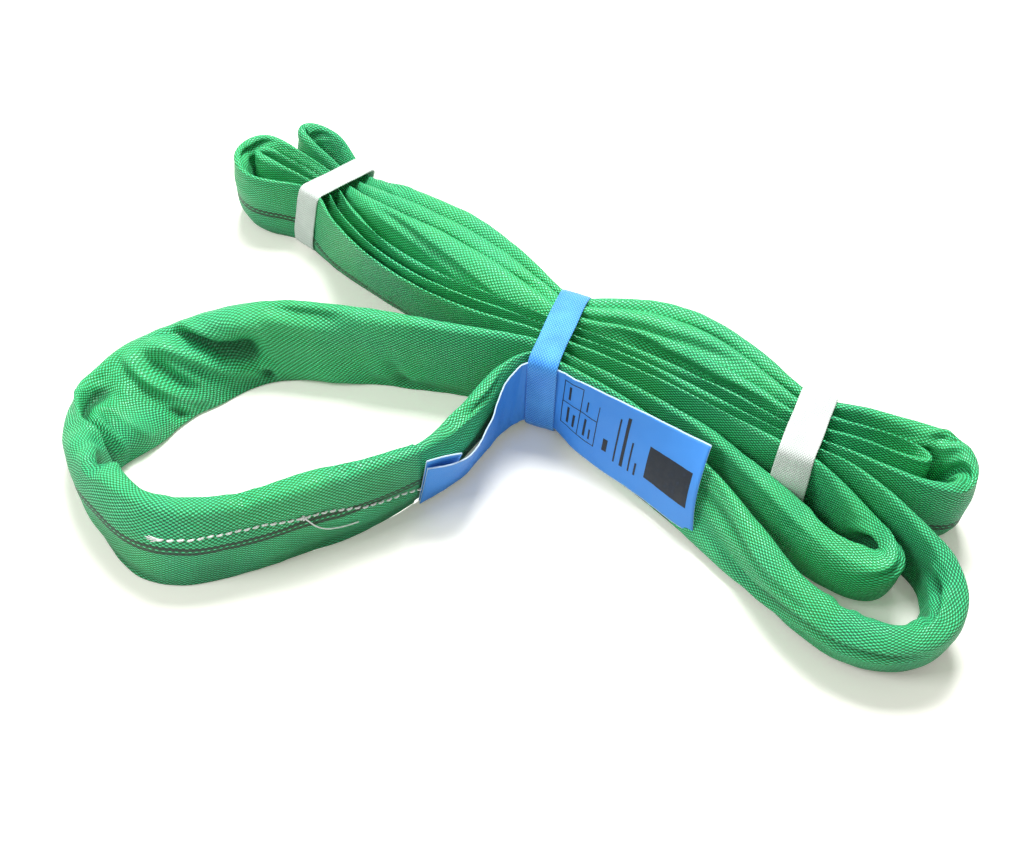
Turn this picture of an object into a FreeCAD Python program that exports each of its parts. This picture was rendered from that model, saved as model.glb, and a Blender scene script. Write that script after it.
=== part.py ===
import FreeCAD, Part
import math
import os

# Endless round sling, stored as a tied hank. Millimetres, +Z up, resting on z = 0.
# X runs along the hank, Y across it. One tubular sleeve holds one endless yarn core,
# and the route below follows it once round: middle tie, open eye, middle tie, inner
# bight, six folded lays, outer bight, and back to the middle tie.

# ---------------------------------------------------------------- driving dimensions
SLEEVE_WALL = 1.0        # woven sleeve, single layer
LAYER_GAP = 0.2          # between the two layers where the sleeve ends overlap
LAY_GAP = 1.1            # between neighbouring lays
CORE_GAP = 0.3           # between sleeve and yarn core
CORE_AREA = 120.0        # yarn bundle section, mm2
FIN = 5.0                # flattened lower edge of the sleeve
STRAND_HEIGHT = 60.0     # flat width of the sleeve, standing on edge
SHOULDER_LEVEL = 0.68    # share of the height at which a strand reaches its full thickness

TIE_THICKNESS = 1.0
TIE_GAP = 0.35           # between a tie and what it holds
LEFT_TIE_WIDTH = 16.0
MIDDLE_TIE_WIDTH = 17.0
RIGHT_TIE_WIDTH = 20.0

LABEL_WIDTH = 50.0
LABEL_THICKNESS = 0.8
LABEL_BOTTOM = 8.0       # height of the label's lower edge

# ---------------------------------------------------------------- the six folded lays
# Each row is one cross-section of the hank, seen along it: the foot of the nearest lay
# (x, y), how far the row is turned about Z (degrees), the pitch of the feet, the six
# top edges measured across the row from that foot, and how far the nearest and the
# farthest top edge sag below the strand's full height.
LEFT_TIE_ROWS = [
    (-204, 24.5, 15, 5.8, (7, 15, 24, 32.5, 41.5, 51), 14, 31),
    (-195, 21.5, 14, 5.8, (8, 16, 24.5, 33, 42, 51), 14, 31),
    (-186, 18.5, 13, 5.8, (8, 16, 24.5, 33, 42, 51), 13, 29),
]
LEFT_ROWS = [
    (-163, 12.5, 11, 6.0, (-6, 1, 9, 23, 34, 46), 3, 12),
    (-120, 7, 6, 6.2, (-17, -9, 0, 25, 37, 49), 2, 8),
    (-75, 1, 2, 6.2, (-15, -7, 2, 26, 37.5, 49), 2, 6),
    (-38, -4, -4, 6.3, (-6, 1, 9, 22, 32.5, 43), 1, 4),
]
MIDDLE_TIE_ROWS = [
    (-10, -10, -10, 6.4, (4, 10.5, 17, 23.5, 30.5, 38), 0, 4),
    (0, -10.5, -10, 6.4, (4.5, 11, 17.5, 24, 31, 38), 0, 4),
    (10, -10.5, -10, 6.4, (5, 11.5, 18, 25, 32, 39.5), 0, 4),
]
RIGHT_ROWS = [
    (40, -9, -7, 6.6, (7, 14, 21, 35, 47, 58.5), 1, 5),
    (75, -8, -6, 6.6, (6, 13, 20, 36, 48, 61), 1, 5),
    (108, -8, -7, 6.5, (3, 10, 17.5, 31, 42.5, 54), 1, 5),
]
RIGHT_TIE_ROWS = [
    (138, -9, -8, 6.3, (1.5, 8.5, 15.5, 23.5, 32, 41), 0, 3),
    (148, -9.5, -8, 6.3, (1.5, 8.5, 15.5, 23.5, 32, 41), 0, 3),
    (158, -9.5, -8, 6.3, (1, 8, 15, 23.5, 32.5, 42), 0, 3),
]
HANK_ROWS = LEFT_TIE_ROWS + LEFT_ROWS + MIDDLE_TIE_ROWS + RIGHT_ROWS + RIGHT_TIE_ROWS
TIE_ROWS = LEFT_TIE_ROWS + MIDDLE_TIE_ROWS + RIGHT_TIE_ROWS
LAYS = 6

# ---------------------------------------------------------------- the rest of the route
# Each station is a standing cross-section of the strand: foot (x, y), top edge (x, y),
# how far the top edge sags below the strand's full height, thickness at the foot and
# thickness near the top.
NECK = [
    (-22, -38, -18.5, -38, 3, FIN, 9),
    (-26, -58, -19, -57, 7, 7, 16),
    (-27.5, -82, -19.5, -80, 8, 8, 17.5),
]
EYE_JOINT = [
    (-31.5, -107, -27, -108, 4, 5.5, 13),
    (-44.5, -136, -43.5, -124, 3, 5.5, 18),
    (-60.5, -158, -60.5, -145, 3, 5.5, 19),
    (-78.5, -182, -78.5, -166, 4, 5.5, 19),
    (-97, -204, -97, -186, 6, 5.5, 19),
    (-120, -223.5, -119, -201, 8, 6, 19),
]
EYE_BEND = [
    (-149, -223.5, -147, -203, 10, 8, 19),
    (-178, -207, -175, -198, 16, 14, 19),
    (-194, -186, -207, -184, 26, 22, 20),
    (-189, -158, -229, -163, 35, 22, 20),
    (-181, -131, -231, -138, 36, 18, 20),
    (-172, -108, -222, -114, 31, 14, 20),
    (-160, -87, -203, -90, 22, 9, 19),
    (-143, -70, -176, -67, 14, 6, 17),
    (-119, -56, -142, -52, 8, FIN, 15),
    (-87, -43, -100, -40, 4, FIN, 13),
    (-50, -29.5, -53, -27, 2, FIN, 10),
    (-26, -21, -26, -17.5, 0, FIN, 7),
]
INNER_BIGHT = [
    (38, -16, 37, -12.5, 1, 6, 6.5),
    (68, -16.5, 67, -12.5, 3, 6, 7),
    (98, -17, 97, -13.5, 7, 7, 9),
    (128, -24, 126, -20, 12, 9, 13),
    (154, -34, 151, -29, 17, 13, 16),
    (179, -39, 177, -37, 20, 14, 18),
    (199, -39.5, 201, -40, 21, 14, 18),
    (211, -33, 214, -32.5, 21, 13, 16),
    (209, -25, 211, -23, 20, 11, 12),
    (194, -18, 195, -16, 14, 8, 9),
    (172, -13, 173, -11, 6, 7, 7),
]
NEAR_LOBE_OUTER = [
    (-229, 18, -227, 14, 10, 8, 9),
    (-245, 23, -246, 20, 10, 10, 10),
    (-254, 35, -254, 36, 10, 11, 11),
    (-248, 49, -248, 52.5, 12, 9, 10),
    (-230, 51.5, -228, 55.5, 13, 6.5, 8),
]
FAR_FOLD_INNER = [
    (171, 14, 170, 17.5, 2, 6, 6.5),
    (190, 18, 190, 21.5, 6, 7, 7),
    (203, 21.5, 204, 24, 9, 7, 7),
    (208, 26.5, 211, 29, 10, 7, 7),
    (202, 31, 203, 34.5, 9, 7, 7),
    (187, 28, 186, 33, 6, 7, 7),
]
FAR_LOBE = [
    (-219, 57, -218, 64, 14, FIN, 8),
    (-231, 61.5, -232, 67, 12, 7, 9),
    (-228, 70.5, -228, 76, 11, 8, 9),
    (-213, 73, -207, 82, 15, 7, 9),
]
FAR_FOLD_OUTER = [
    (168, 30.5, 166, 38.5, 3, 6, 7),
    (192, 38, 193, 45, 6, 8, 9),
    (215, 43, 218, 48, 8, 9, 10),
    (230, 37, 232, 38.5, 10, 11, 11),
    (231, 22, 233, 20.5, 10, 11, 11),
    (216, 13, 217, 11, 6, 9, 9),
    (192, 9, 193, 8, 3, 7, 7.5),
    (168, 5.5, 168, 6.5, 0, 6, 6),
]
NEAR_LOBE_INNER = [
    (-223, 41.5, -222, 45.5, 14, FIN, 6),
    (-236, 42.3, -236, 44.4, 12, 6, 7),
    (-242, 38, -243, 38.5, 10, 7, 7),
    (-236, 34.5, -237, 34.5, 10, 6, 7),
    (-223, 36, -223, 36.5, 13, FIN, 6),
]
OUTER_BIGHT = [
    (173, -1, 173, 0, 1, 6, 6.5),
    (196, -5, 197, -5.5, 4, 8, 8),
    (218, -10, 220, -11.5, 8, 9, 10),
    (239, -21, 243, -21, 14, 13, 14),
    (248, -40, 254, -40, 19, 18, 19),
    (243, -58, 249, -62, 22, 20, 21),
    (225, -69, 228, -76, 22, 21, 21),
    (202, -70, 200, -77, 22, 21, 21),
    (179, -64, 175, -70, 20, 18, 19),
    (156, -56, 152, -58, 18, 14, 16),
    (130, -48, 128, -38.5, 18, 11, 12),
    (100, -40, 98, -24.5, 18, 8, 8.5),
    (68, -37, 68, -22.5, 6, 7.5, 8),
    (40, -33.5, 40, -20.6, 2, 7.5, 6.5),
]

# Where the two strands of the eye pass under the middle tie, measured across its rows:
# foot and top edge of each.
EYE_STRAND_IN_TIE = (-6.8, -2.8)
NECK_IN_TIE = (-13.6, -10.0)
TIED_TOP_THICKNESS = 5.6

# ---------------------------------------------------------------- the label
# Stations along the label: lower edge (x, y, z), upper edge (x, y, z), and how far its
# middle line bulges away from the sleeve. It leaves the sleeve's joint, passes under the
# middle tie outside the neck, and lies on the hank.
LABEL_SEWN = [
    (-28.0, -108.8, 4, -20.0, -109.3, 46, 0),
    (-20.5, -92, 4, -4, -96, 46, 0),
    (-16, -78, 4.5, -3, -80, 49, 0),
    (-15, -62, 5, -6, -63, 52, 0),
    (-13.5, -47, 6, -10, -47, 55, 0),
    (-10, -37, 7, -9.5, -36, 57, 0),
]
LABEL_IN_TIE = [(-20.2, -17.8), (-17.2, -13.9), (-17.1, -13.8)]
LABEL_TOP = LABEL_BOTTOM + LABEL_WIDTH
LABEL_FREE = [
    (20, -31.5, LABEL_BOTTOM, 20.5, -25.2, LABEL_TOP, 0),
    (42, -39.3, LABEL_BOTTOM, 41, -25.0, LABEL_TOP, 0.5),
    (70, -43, 9, 68, -26, 58, 1),
    (92, -48.5, 8, 90, -26, 57, 3.5),
    (113, -52, 8, 106, -26.5, 57, 6.5),
]
LABEL_TAB = [
    (-29.2, -107.9, 5, -20.9, -108.5, 51, 0),
    (-25.6, -98.5, 5, -14, -100, 51, 0),
    (-22.2, -91, 5, -7.4, -94.4, 51, 0),
]


def row_point(row, across):
    """Point (x, y) of a hank row, this far across it from the nearest lay's foot."""
    turn = math.radians(row[2])
    return row[0] + across * math.sin(turn), row[1] + across * math.cos(turn)


def row_station(row, foot, top, sag, foot_thickness, top_thickness):
    """Station whose foot and top edge are measured across a hank row."""
    return row_point(row, foot) + row_point(row, top) + (sag, foot_thickness, top_thickness)


def lay_station(row, lay):
    """Station of one folded lay in one row; it fills the room its neighbours leave."""
    pitch, tops, near_sag, far_sag = row[3:]
    foot, top = pitch * lay, tops[lay]
    sag = near_sag + (far_sag - near_sag) * lay / (LAYS - 1)
    height = STRAND_HEIGHT - sag
    upright = height / math.hypot(height, top - foot)
    spacing = min(tops[k + 1] - tops[k] for k in (lay - 1, lay) if 0 <= k < LAYS - 1)
    at_shoulder = pitch + (spacing - pitch) * SHOULDER_LEVEL
    thickness, foot_thickness = (room * upright - LAY_GAP for room in (at_shoulder, pitch))
    return row_station(row, foot, top, sag, foot_thickness, thickness)


def tied_station(row, places):
    """Station of an eye strand where the middle tie holds it."""
    return row_station(row, places[0], places[1], 0, FIN, TIED_TOP_THICKNESS)


def smoothed(around, t):
    """Uniform cubic blend of four neighbouring stations, t of the way past the second."""
    weights = ((1 - t) ** 3 / 6, (3 * t ** 3 - 6 * t * t + 4) / 6,
               (-3 * t ** 3 + 3 * t * t + 3 * t + 1) / 6, t ** 3 / 6)
    return [sum(w * station[i] for w, station in zip(weights, around))
            for i in range(len(around[0]))]


# ---------------------------------------------------------------- once round the sling
class Route:
    """Closed list of stations, once round the sling, with the names of its stretches."""

    def __init__(self):
        self.stations = []
        self.lifts = []
        self.first = {}
        self.last = {}

    def add(self, name, stations, lifts=None):
        """Append one stretch. Lifts say how high its feet stand, 0 if left out."""
        self.first[name] = len(self.stations)
        self.stations += stations
        self.lifts += lifts or [0.0] * len(stations)
        self.last[name] = len(self.stations) - 1

    def add_lay(self, number, leftwards):
        """Append one folded lay, 0 nearest to 5 farthest."""
        rows = HANK_ROWS[::-1] if leftwards else HANK_ROWS
        lifts = [TIE_LIFT if row in TIE_ROWS else 0.0 for row in rows]
        self.add(f"lay {number}", [lay_station(row, number) for row in rows], lifts)

    def station(self, place):
        """Smoothed station and its lift at a place counted in stations."""
        count = len(self.stations)
        index = math.floor(place)
        t = place - index
        around = [self.stations[(index + k) % count] for k in (-1, 0, 1, 2)]
        here, there = self.lifts[index % count], self.lifts[(index + 1) % count]
        return smoothed(around, t), here + (there - here) * t

    def is_straight(self, index):
        """Whether the step after this station lies inside a nearly straight stretch."""
        return any(self.first[name] <= index % len(self.stations) < self.last[name]
                   for name in self.first if name.startswith(STRAIGHT))

    def places(self, start, stop):
        """Places from start to stop: every station, and in the bends also halfway."""
        inner = []
        for index in range(math.floor(start), math.ceil(stop)):
            inner += [index] if self.is_straight(index) else [index, index + 0.5]
        return [start] + [place for place in inner if start < place < stop] + [stop]


STRAIGHT = ("lay", "neck", "eye joint")    # stretches with no sharp bend
TIE_LIFT = TIE_THICKNESS + TIE_GAP         # strands stand this high where a tie passes under

ROUTE = Route()
ROUTE.add("neck in tie", [tied_station(row, NECK_IN_TIE) for row in MIDDLE_TIE_ROWS[::-1]],
          [TIE_LIFT] * 3)
ROUTE.add("neck", NECK)
ROUTE.add("eye joint", EYE_JOINT)
ROUTE.add("eye bend", EYE_BEND)
ROUTE.add("eye strand in tie", [tied_station(row, EYE_STRAND_IN_TIE) for row in MIDDLE_TIE_ROWS],
          [TIE_LIFT] * 3)
ROUTE.add("inner bight", INNER_BIGHT)
ROUTE.add_lay(0, leftwards=True)
ROUTE.add("near lobe outer", NEAR_LOBE_OUTER)
ROUTE.add_lay(3, leftwards=False)
ROUTE.add("far fold inner", FAR_FOLD_INNER)
ROUTE.add_lay(4, leftwards=True)
ROUTE.add("far lobe", FAR_LOBE)
ROUTE.add_lay(5, leftwards=False)
ROUTE.add("far fold outer", FAR_FOLD_OUTER)
ROUTE.add_lay(2, leftwards=True)
ROUTE.add("near lobe inner", NEAR_LOBE_INNER)
ROUTE.add_lay(1, leftwards=False)
ROUTE.add("outer bight", OUTER_BIGHT)
ROUND = len(ROUTE.stations)

# Places where the sleeve changes from one piece to the next.
HINGE_GAP = 0.04         # share of a step left open between the pieces at the middle tie
NECK_HINGE = ROUTE.last["neck in tie"]
STRAND_HINGE = ROUTE.first["eye strand in tie"]
JOINT_START = ROUTE.first["eye joint"]
JOINT_END = ROUTE.last["eye joint"]
LAYS_START = ROUTE.first["lay 0"]
LAYS_END = ROUTE.last["lay 1"]


# ---------------------------------------------------------------- strand solids
# Half section as (share of the thickness, foot-to-top mix, level): the foot is a thin
# flat fin, the body above it swells to the top thickness and closes in a narrow crown.
SECTION = [(0.50, 0.0, 0.0), (0.50, 0.3, 0.34), (0.50, 1.0, SHOULDER_LEVEL),
           (0.46, 1.0, 0.88), (0.24, 1.0, 1.0)]


def half_width(station, level):
    """Half thickness of the strand at a level, 0 at the foot to 1 at the top edge."""
    foot_thick, top_thick = station[5:]
    widths = [(lev, part * (foot_thick + (top_thick - foot_thick) * mix))
              for part, mix, lev in SECTION]
    for (low, w_low), (high, w_high) in zip(widths, widths[1:]):
        if level <= high:
            return w_low + (w_high - w_low) * (level - low) / (high - low)
    return widths[-1][1]


class Frame:
    """Upright frame of one section: its foot, its height, and the way across it."""

    def __init__(self, station, lift, across):
        foot_x, foot_y, top_x, top_y, sag = station[:5]
        self.station = station
        self.floor = lift
        self.foot = FreeCAD.Vector(foot_x, foot_y, lift)
        rise = FreeCAD.Vector(top_x - foot_x, top_y - foot_y, STRAND_HEIGHT - sag - lift)
        self.reach = rise.Length
        self.up = rise * (1.0 / self.reach)
        self.side = across - self.up * across.dot(self.up)
        self.side.normalize()

    def point(self, height, offset, inset=0.0):
        """Point this high up the strand and this far across it, never under the floor."""
        spot = self.foot + self.up * height + self.side * offset
        below = self.floor + inset - spot.z
        return spot + self.up * (below / self.up.z) if below > 0 else spot


def half_section(frame, inset):
    """Height and half width at each corner of the section, moved in by inset."""
    span = frame.reach - 2 * inset
    return [(inset + span * level, half_width(frame.station, level) - inset)
            for _, _, level in SECTION]


def sleeve_ring(frame, inset):
    """Section of the sleeve as a closed ring of corners."""
    half = half_section(frame, inset)
    return ([frame.point(height, width, inset) for height, width in half] +
            [frame.point(height, -width, inset) for height, width in half[::-1]])


def core_ring(frame, inset):
    """Section of the yarn core: a flat bundle of constant area above the sleeve's fin."""
    half = half_section(frame, inset)[1:-1]
    room = sum((high - low) * (w_low + w_high)
               for (low, w_low), (high, w_high) in zip(half, half[1:]))
    share = min(CORE_AREA / room, 1)
    return ([frame.point(height, width * share) for height, width in half] +
            [frame.point(height, -width * share) for height, width in half[::-1]])


def frames(places):
    """Frames at places of the route, square to it as seen from above."""
    result = []
    for place in places:
        station, lift = ROUTE.station(place)
        before, after = (ROUTE.station(place + step)[0] for step in (-0.5, 0.5))
        across = FreeCAD.Vector(before[1] + before[3] - after[1] - after[3],
                                after[0] + after[2] - before[0] - before[2], 0)
        result.append(Frame(station, lift, across))
    return result


def triangle(a, b, c):
    """Flat face on three corners."""
    return Part.Face(Part.makePolygon([a, b, c, a]))


def skin(rings):
    """Flat facets from ring to ring. Each four corners are split along the diagonal that
    rises with X, so that facets that face each other across a gap bend the same way."""
    faces = []
    for ring, following in zip(rings, rings[1:]):
        for k in range(len(ring)):
            n = (k + 1) % len(ring)
            diagonal = following[n] - ring[k]
            if diagonal.x * diagonal.z > 0:
                faces.append(triangle(ring[k], following[k], following[n]))
                faces.append(triangle(ring[k], following[n], ring[n]))
            else:
                faces.append(triangle(ring[k], following[k], ring[n]))
                faces.append(triangle(following[k], following[n], ring[n]))
    return faces


def closed_wire(ring):
    """Closed polygon through a ring of corners."""
    return Part.makePolygon(ring + ring[:1])


def solid_from(faces):
    """Solid from faces that meet edge to edge."""
    shell = Part.Shell(faces)
    shell.sewShape()
    solid = Part.Solid(shell)
    if solid.Volume < 0:
        solid.reverse()
    return solid


def tube(outer, inner):
    """Open-ended tube between two lists of rings."""
    ends = [Part.makeFace([closed_wire(outer[k]), closed_wire(inner[k])],
                          "Part::FaceMakerBullseye") for k in (0, -1)]
    return solid_from(skin(outer) + skin(inner) + ends)


def bar(rings):
    """Closed bar over a list of rings."""
    return solid_from(skin(rings) + [Part.Face(closed_wire(rings[k])) for k in (0, -1)])


# ---------------------------------------------------------------- sleeve and core pieces
TUCKED_INSET = SLEEVE_WALL + LAYER_GAP


def tucked_inset(place):
    """How far the sleeve's inner end lies inside the outer one, 0 before the joint."""
    return TUCKED_INSET * min(max(place - JOINT_START + 1, 0), 1)


def core_inset(place):
    """Distance from the outer surface to the core; two layers deep at the joint."""
    fade = min(max(place - JOINT_START + 1, 0), max(JOINT_END + 1 - place, 0), 1)
    return SLEEVE_WALL + CORE_GAP + TUCKED_INSET * fade


def sleeve(start, stop, inset=lambda place: 0.0):
    """Open-ended length of sleeve."""
    places = ROUTE.places(start, stop)
    sections = frames(places)
    outer = [sleeve_ring(f, inset(p)) for f, p in zip(sections, places)]
    inner = [sleeve_ring(f, inset(p) + SLEEVE_WALL) for f, p in zip(sections, places)]
    return tube(outer, inner)


def core(start, stop):
    """Length of the yarn core inside the sleeve."""
    places = ROUTE.places(start, stop)
    return bar([core_ring(f, core_inset(p)) for f, p in zip(frames(places), places)])


# ---------------------------------------------------------------- label pieces
LABEL_STEPS = 3          # sections to each step between label stations


def label_in_tie():
    """Stations of the label under the middle tie."""
    return [row_point(row, low) + (LABEL_BOTTOM,) + row_point(row, high) + (LABEL_TOP, 0)
            for row, (low, high) in zip(MIDDLE_TIE_ROWS, LABEL_IN_TIE)]


def extended(stations):
    """Stations with one more at each end, so that a smooth line reaches both ends."""
    before = [2 * a - b for a, b in zip(stations[0], stations[1])]
    after = [2 * a - b for a, b in zip(stations[-1], stations[-2])]
    return [before] + stations + [after]


def label_sections(stations, start, stop):
    """Smooth label sections between two places: lower edge, upper edge and bulge."""
    line = extended(stations)
    count = round((stop - start) * LABEL_STEPS)
    sections = []
    for k in range(count + 1):
        place = start + (stop - start) * k / count
        index = min(math.floor(place), len(stations) - 2)
        spot = smoothed(line[index:index + 4], place - index)
        sections.append((FreeCAD.Vector(*spot[:3]), FreeCAD.Vector(*spot[3:6]), spot[6]))
    return sections


def label_strip(stations, start, stop):
    """Flat woven strip between two places of a list of label stations."""
    sections = label_sections(stations, start, stop)
    rings = []
    for k, (low, high, bulge) in enumerate(sections):
        before, after = sections[max(k - 1, 0)], sections[min(k + 1, len(sections) - 1)]
        along = after[0] + after[1] - before[0] - before[1]
        across = along.cross(high - low)
        across.normalize()
        half = across * (LABEL_THICKNESS / 2)
        middle = (low + high) * 0.5 + across * bulge
        rings.append([low - half, middle - half, high - half,
                      high + half, middle + half, low + half])
    return bar(rings)


# ---------------------------------------------------------------- ties
SHARP_CORNERS = 2        # join style of an offset outline
HELD_SECTIONS = 5        # sections of each strand that shape the tie round it


def lay_place(number, row):
    """Place on the route where a lay crosses a hank row."""
    name = f"lay {number}"
    index = HANK_ROWS.index(row)
    leftwards = ROUTE.station(ROUTE.first[name])[0][0] > 0
    return ROUTE.last[name] - index if leftwards else ROUTE.first[name] + index


def strand_corners(first, last):
    """Corners of a strand's sections between two places."""
    step = (last - first) / (HELD_SECTIONS - 1)
    sections = frames([first + k * step for k in range(HELD_SECTIONS)])
    return [corner for section in sections for corner in sleeve_ring(section, 0.0)]


def held_corners(rows):
    """Corners of every lay's sections between the first and the last of a tie's rows."""
    corners = []
    for number in range(LAYS):
        first, last = sorted(lay_place(number, row) for row in (rows[0], rows[-1]))
        corners += strand_corners(first, last)
    return corners


def hull(points):
    """Convex outline of points in a plane, anticlockwise."""
    def half(ordered):
        chain = []
        for x, y in ordered:
            while len(chain) > 1 and ((chain[-1][0] - chain[-2][0]) * (y - chain[-2][1]) <=
                                      (chain[-1][1] - chain[-2][1]) * (x - chain[-2][0])):
                chain.pop()
            chain.append((x, y))
        return chain[:-1]
    ordered = sorted(points)
    return half(ordered) + half(ordered[::-1])


def tie(rows, width, corners):
    """Tight closed band of webbing round the corners that it holds."""
    middle = rows[1]
    turn = math.radians(middle[2])
    across = FreeCAD.Vector(math.sin(turn), math.cos(turn), 0)
    along = FreeCAD.Vector(math.cos(turn), -math.sin(turn), 0)
    centre = FreeCAD.Vector(middle[0], middle[1], 0)
    flat = [((corner - centre).dot(across), corner.z) for corner in corners]
    outline = closed_wire([FreeCAD.Vector(x, z, 0) for x, z in hull(flat)])
    inside = outline.makeOffset2D(TIE_GAP, SHARP_CORNERS)
    outside = outline.makeOffset2D(TIE_GAP + TIE_THICKNESS, SHARP_CORNERS)
    band = Part.makeFace([outside, inside], "Part::FaceMakerBullseye")
    band = band.extrude(FreeCAD.Vector(0, 0, width))
    band.translate(FreeCAD.Vector(0, 0, -width / 2))
    stand = FreeCAD.Matrix(across.x, 0, along.x, centre.x,
                           across.y, 0, along.y, centre.y,
                           0, 1, 0, 0,
                           0, 0, 0, 1)
    band.Placement = FreeCAD.Placement(stand).multiply(band.Placement)
    return band


# ---------------------------------------------------------------- the nodes
def build_nodes():
    """Every piece of the sling by its node's name."""
    neck_end = NECK_HINGE + HINGE_GAP
    strand_end = STRAND_HINGE - HINGE_GAP
    round_end = ROUND + NECK_HINGE
    label = LABEL_SEWN + label_in_tie() + LABEL_FREE
    tie_start = len(LABEL_SEWN)
    tie_end = tie_start + len(MIDDLE_TIE_ROWS) - 1
    eye_corners = [corner for name in ("neck in tie", "eye strand in tie")
                   for corner in strand_corners(ROUTE.first[name], ROUTE.last[name])]
    label_under_tie = label_strip(label, tie_start, tie_end)
    label_corners = [vertex.Point for vertex in label_under_tie.Vertexes]
    return {
        "sleeve_inner_bight": sleeve(STRAND_HINGE, LAYS_START),
        "sleeve_folded_lays": sleeve(LAYS_START, LAYS_END),
        "sleeve_outer_bight": sleeve(LAYS_END, round_end),
        "sleeve_eye": sleeve(JOINT_START, strand_end),
        "sleeve_tucked_end": sleeve(neck_end, JOINT_END, tucked_inset),
        "core_hank": core(STRAND_HINGE, round_end),
        "core_eye": core(neck_end, strand_end),
        "label_sewn": label_strip(label, 0, tie_start - HINGE_GAP),
        "label_under_tie": label_under_tie,
        "label_free_end": label_strip(label, tie_end + HINGE_GAP, len(label) - 1),
        "label_tab": label_strip(LABEL_TAB, 0, len(LABEL_TAB) - 1),
        "tie_left": tie(LEFT_TIE_ROWS, LEFT_TIE_WIDTH, held_corners(LEFT_TIE_ROWS)),
        "tie_middle": tie(MIDDLE_TIE_ROWS, MIDDLE_TIE_WIDTH,
                          held_corners(MIDDLE_TIE_ROWS) + eye_corners + label_corners),
        "tie_right": tie(RIGHT_TIE_ROWS, RIGHT_TIE_WIDTH, held_corners(RIGHT_TIE_ROWS)),
    }


def main():
    """Build the nodes, stand them on z = 0 about the origin, and write them."""
    nodes = build_nodes()
    box = Part.makeCompound(list(nodes.values())).BoundBox
    to_origin = FreeCAD.Vector(-box.Center.x, -box.Center.y, -box.ZMin)
    os.makedirs("parts", exist_ok=True)
    for name, shape in nodes.items():
        shape.translate(to_origin)
        shape.exportStep(f"parts/{name}.step")
        print(f"{name:20s} {shape.Volume:9.0f} mm3  {len(shape.Faces):5d} faces")
    print("moved to the origin by", [round(value, 3) for value in to_origin])


main()
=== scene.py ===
import bisect
import bpy
from math import copysign, cos, exp, floor, hypot, inf, pi, radians, sin
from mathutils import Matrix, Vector, noise
from mathutils.geometry import convex_hull_2d


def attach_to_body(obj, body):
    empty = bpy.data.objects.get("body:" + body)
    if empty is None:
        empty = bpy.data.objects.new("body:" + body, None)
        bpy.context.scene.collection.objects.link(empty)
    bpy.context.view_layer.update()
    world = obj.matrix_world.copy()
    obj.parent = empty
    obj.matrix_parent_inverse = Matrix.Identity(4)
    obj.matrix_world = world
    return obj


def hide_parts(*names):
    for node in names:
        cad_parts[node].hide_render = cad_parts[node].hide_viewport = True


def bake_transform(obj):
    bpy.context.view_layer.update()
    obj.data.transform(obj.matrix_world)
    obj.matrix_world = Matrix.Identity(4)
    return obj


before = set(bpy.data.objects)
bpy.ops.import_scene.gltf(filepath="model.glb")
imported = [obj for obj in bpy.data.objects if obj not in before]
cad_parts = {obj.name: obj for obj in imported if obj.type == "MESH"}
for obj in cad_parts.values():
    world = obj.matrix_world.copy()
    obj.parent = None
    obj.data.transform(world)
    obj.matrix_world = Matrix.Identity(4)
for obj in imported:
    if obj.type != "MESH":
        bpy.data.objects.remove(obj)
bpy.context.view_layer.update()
scene = bpy.context.scene

# Endless round sling stored as a tied hank. The tables are in millimetres about the
# middle tie, as in the part's source; SHIFT moves that point to its place in the model.
MM = 0.001
SHIFT = Vector((-1.043, 72.02, 0.0))


def in_model(point):
    """Point of the tables, in metres in the model's frame."""
    return (Vector(point) + SHIFT) * MM


def add_object(name, data):
    """Object in the scene."""
    thing = bpy.data.objects.new(name, data)
    scene.collection.objects.link(thing)
    return thing


# ---- camera
AZIMUTH = radians(30.6)
ELEVATION = radians(54.0)
DISTANCE = 0.808
VIEW_CENTRE = in_model((-7.0, -43.0, 20.0))

back = Vector((sin(AZIMUTH) * cos(ELEVATION),
               -cos(AZIMUTH) * cos(ELEVATION), sin(ELEVATION)))
camera = add_object("camera", bpy.data.cameras.new("camera"))
camera.data.lens = 50.0
camera.data.sensor_width = 36.0
camera.data.clip_start = 0.01
camera.location = VIEW_CENTRE + back * DISTANCE
camera.rotation_euler = back.to_track_quat("Z", "Y").to_euler()
scene.camera = camera
scene.view_settings.view_transform = "Standard"


# ---- node helpers
def rgb(text):
    """Linear colour of an sRGB hex code."""
    channels = [int(text[k:k + 2], 16) / 255 for k in (0, 2, 4)]
    linear = [c / 12.92 if c <= 0.04045 else ((c + 0.055) / 1.055) ** 2.4 for c in channels]
    return (*linear, 1.0)


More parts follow.
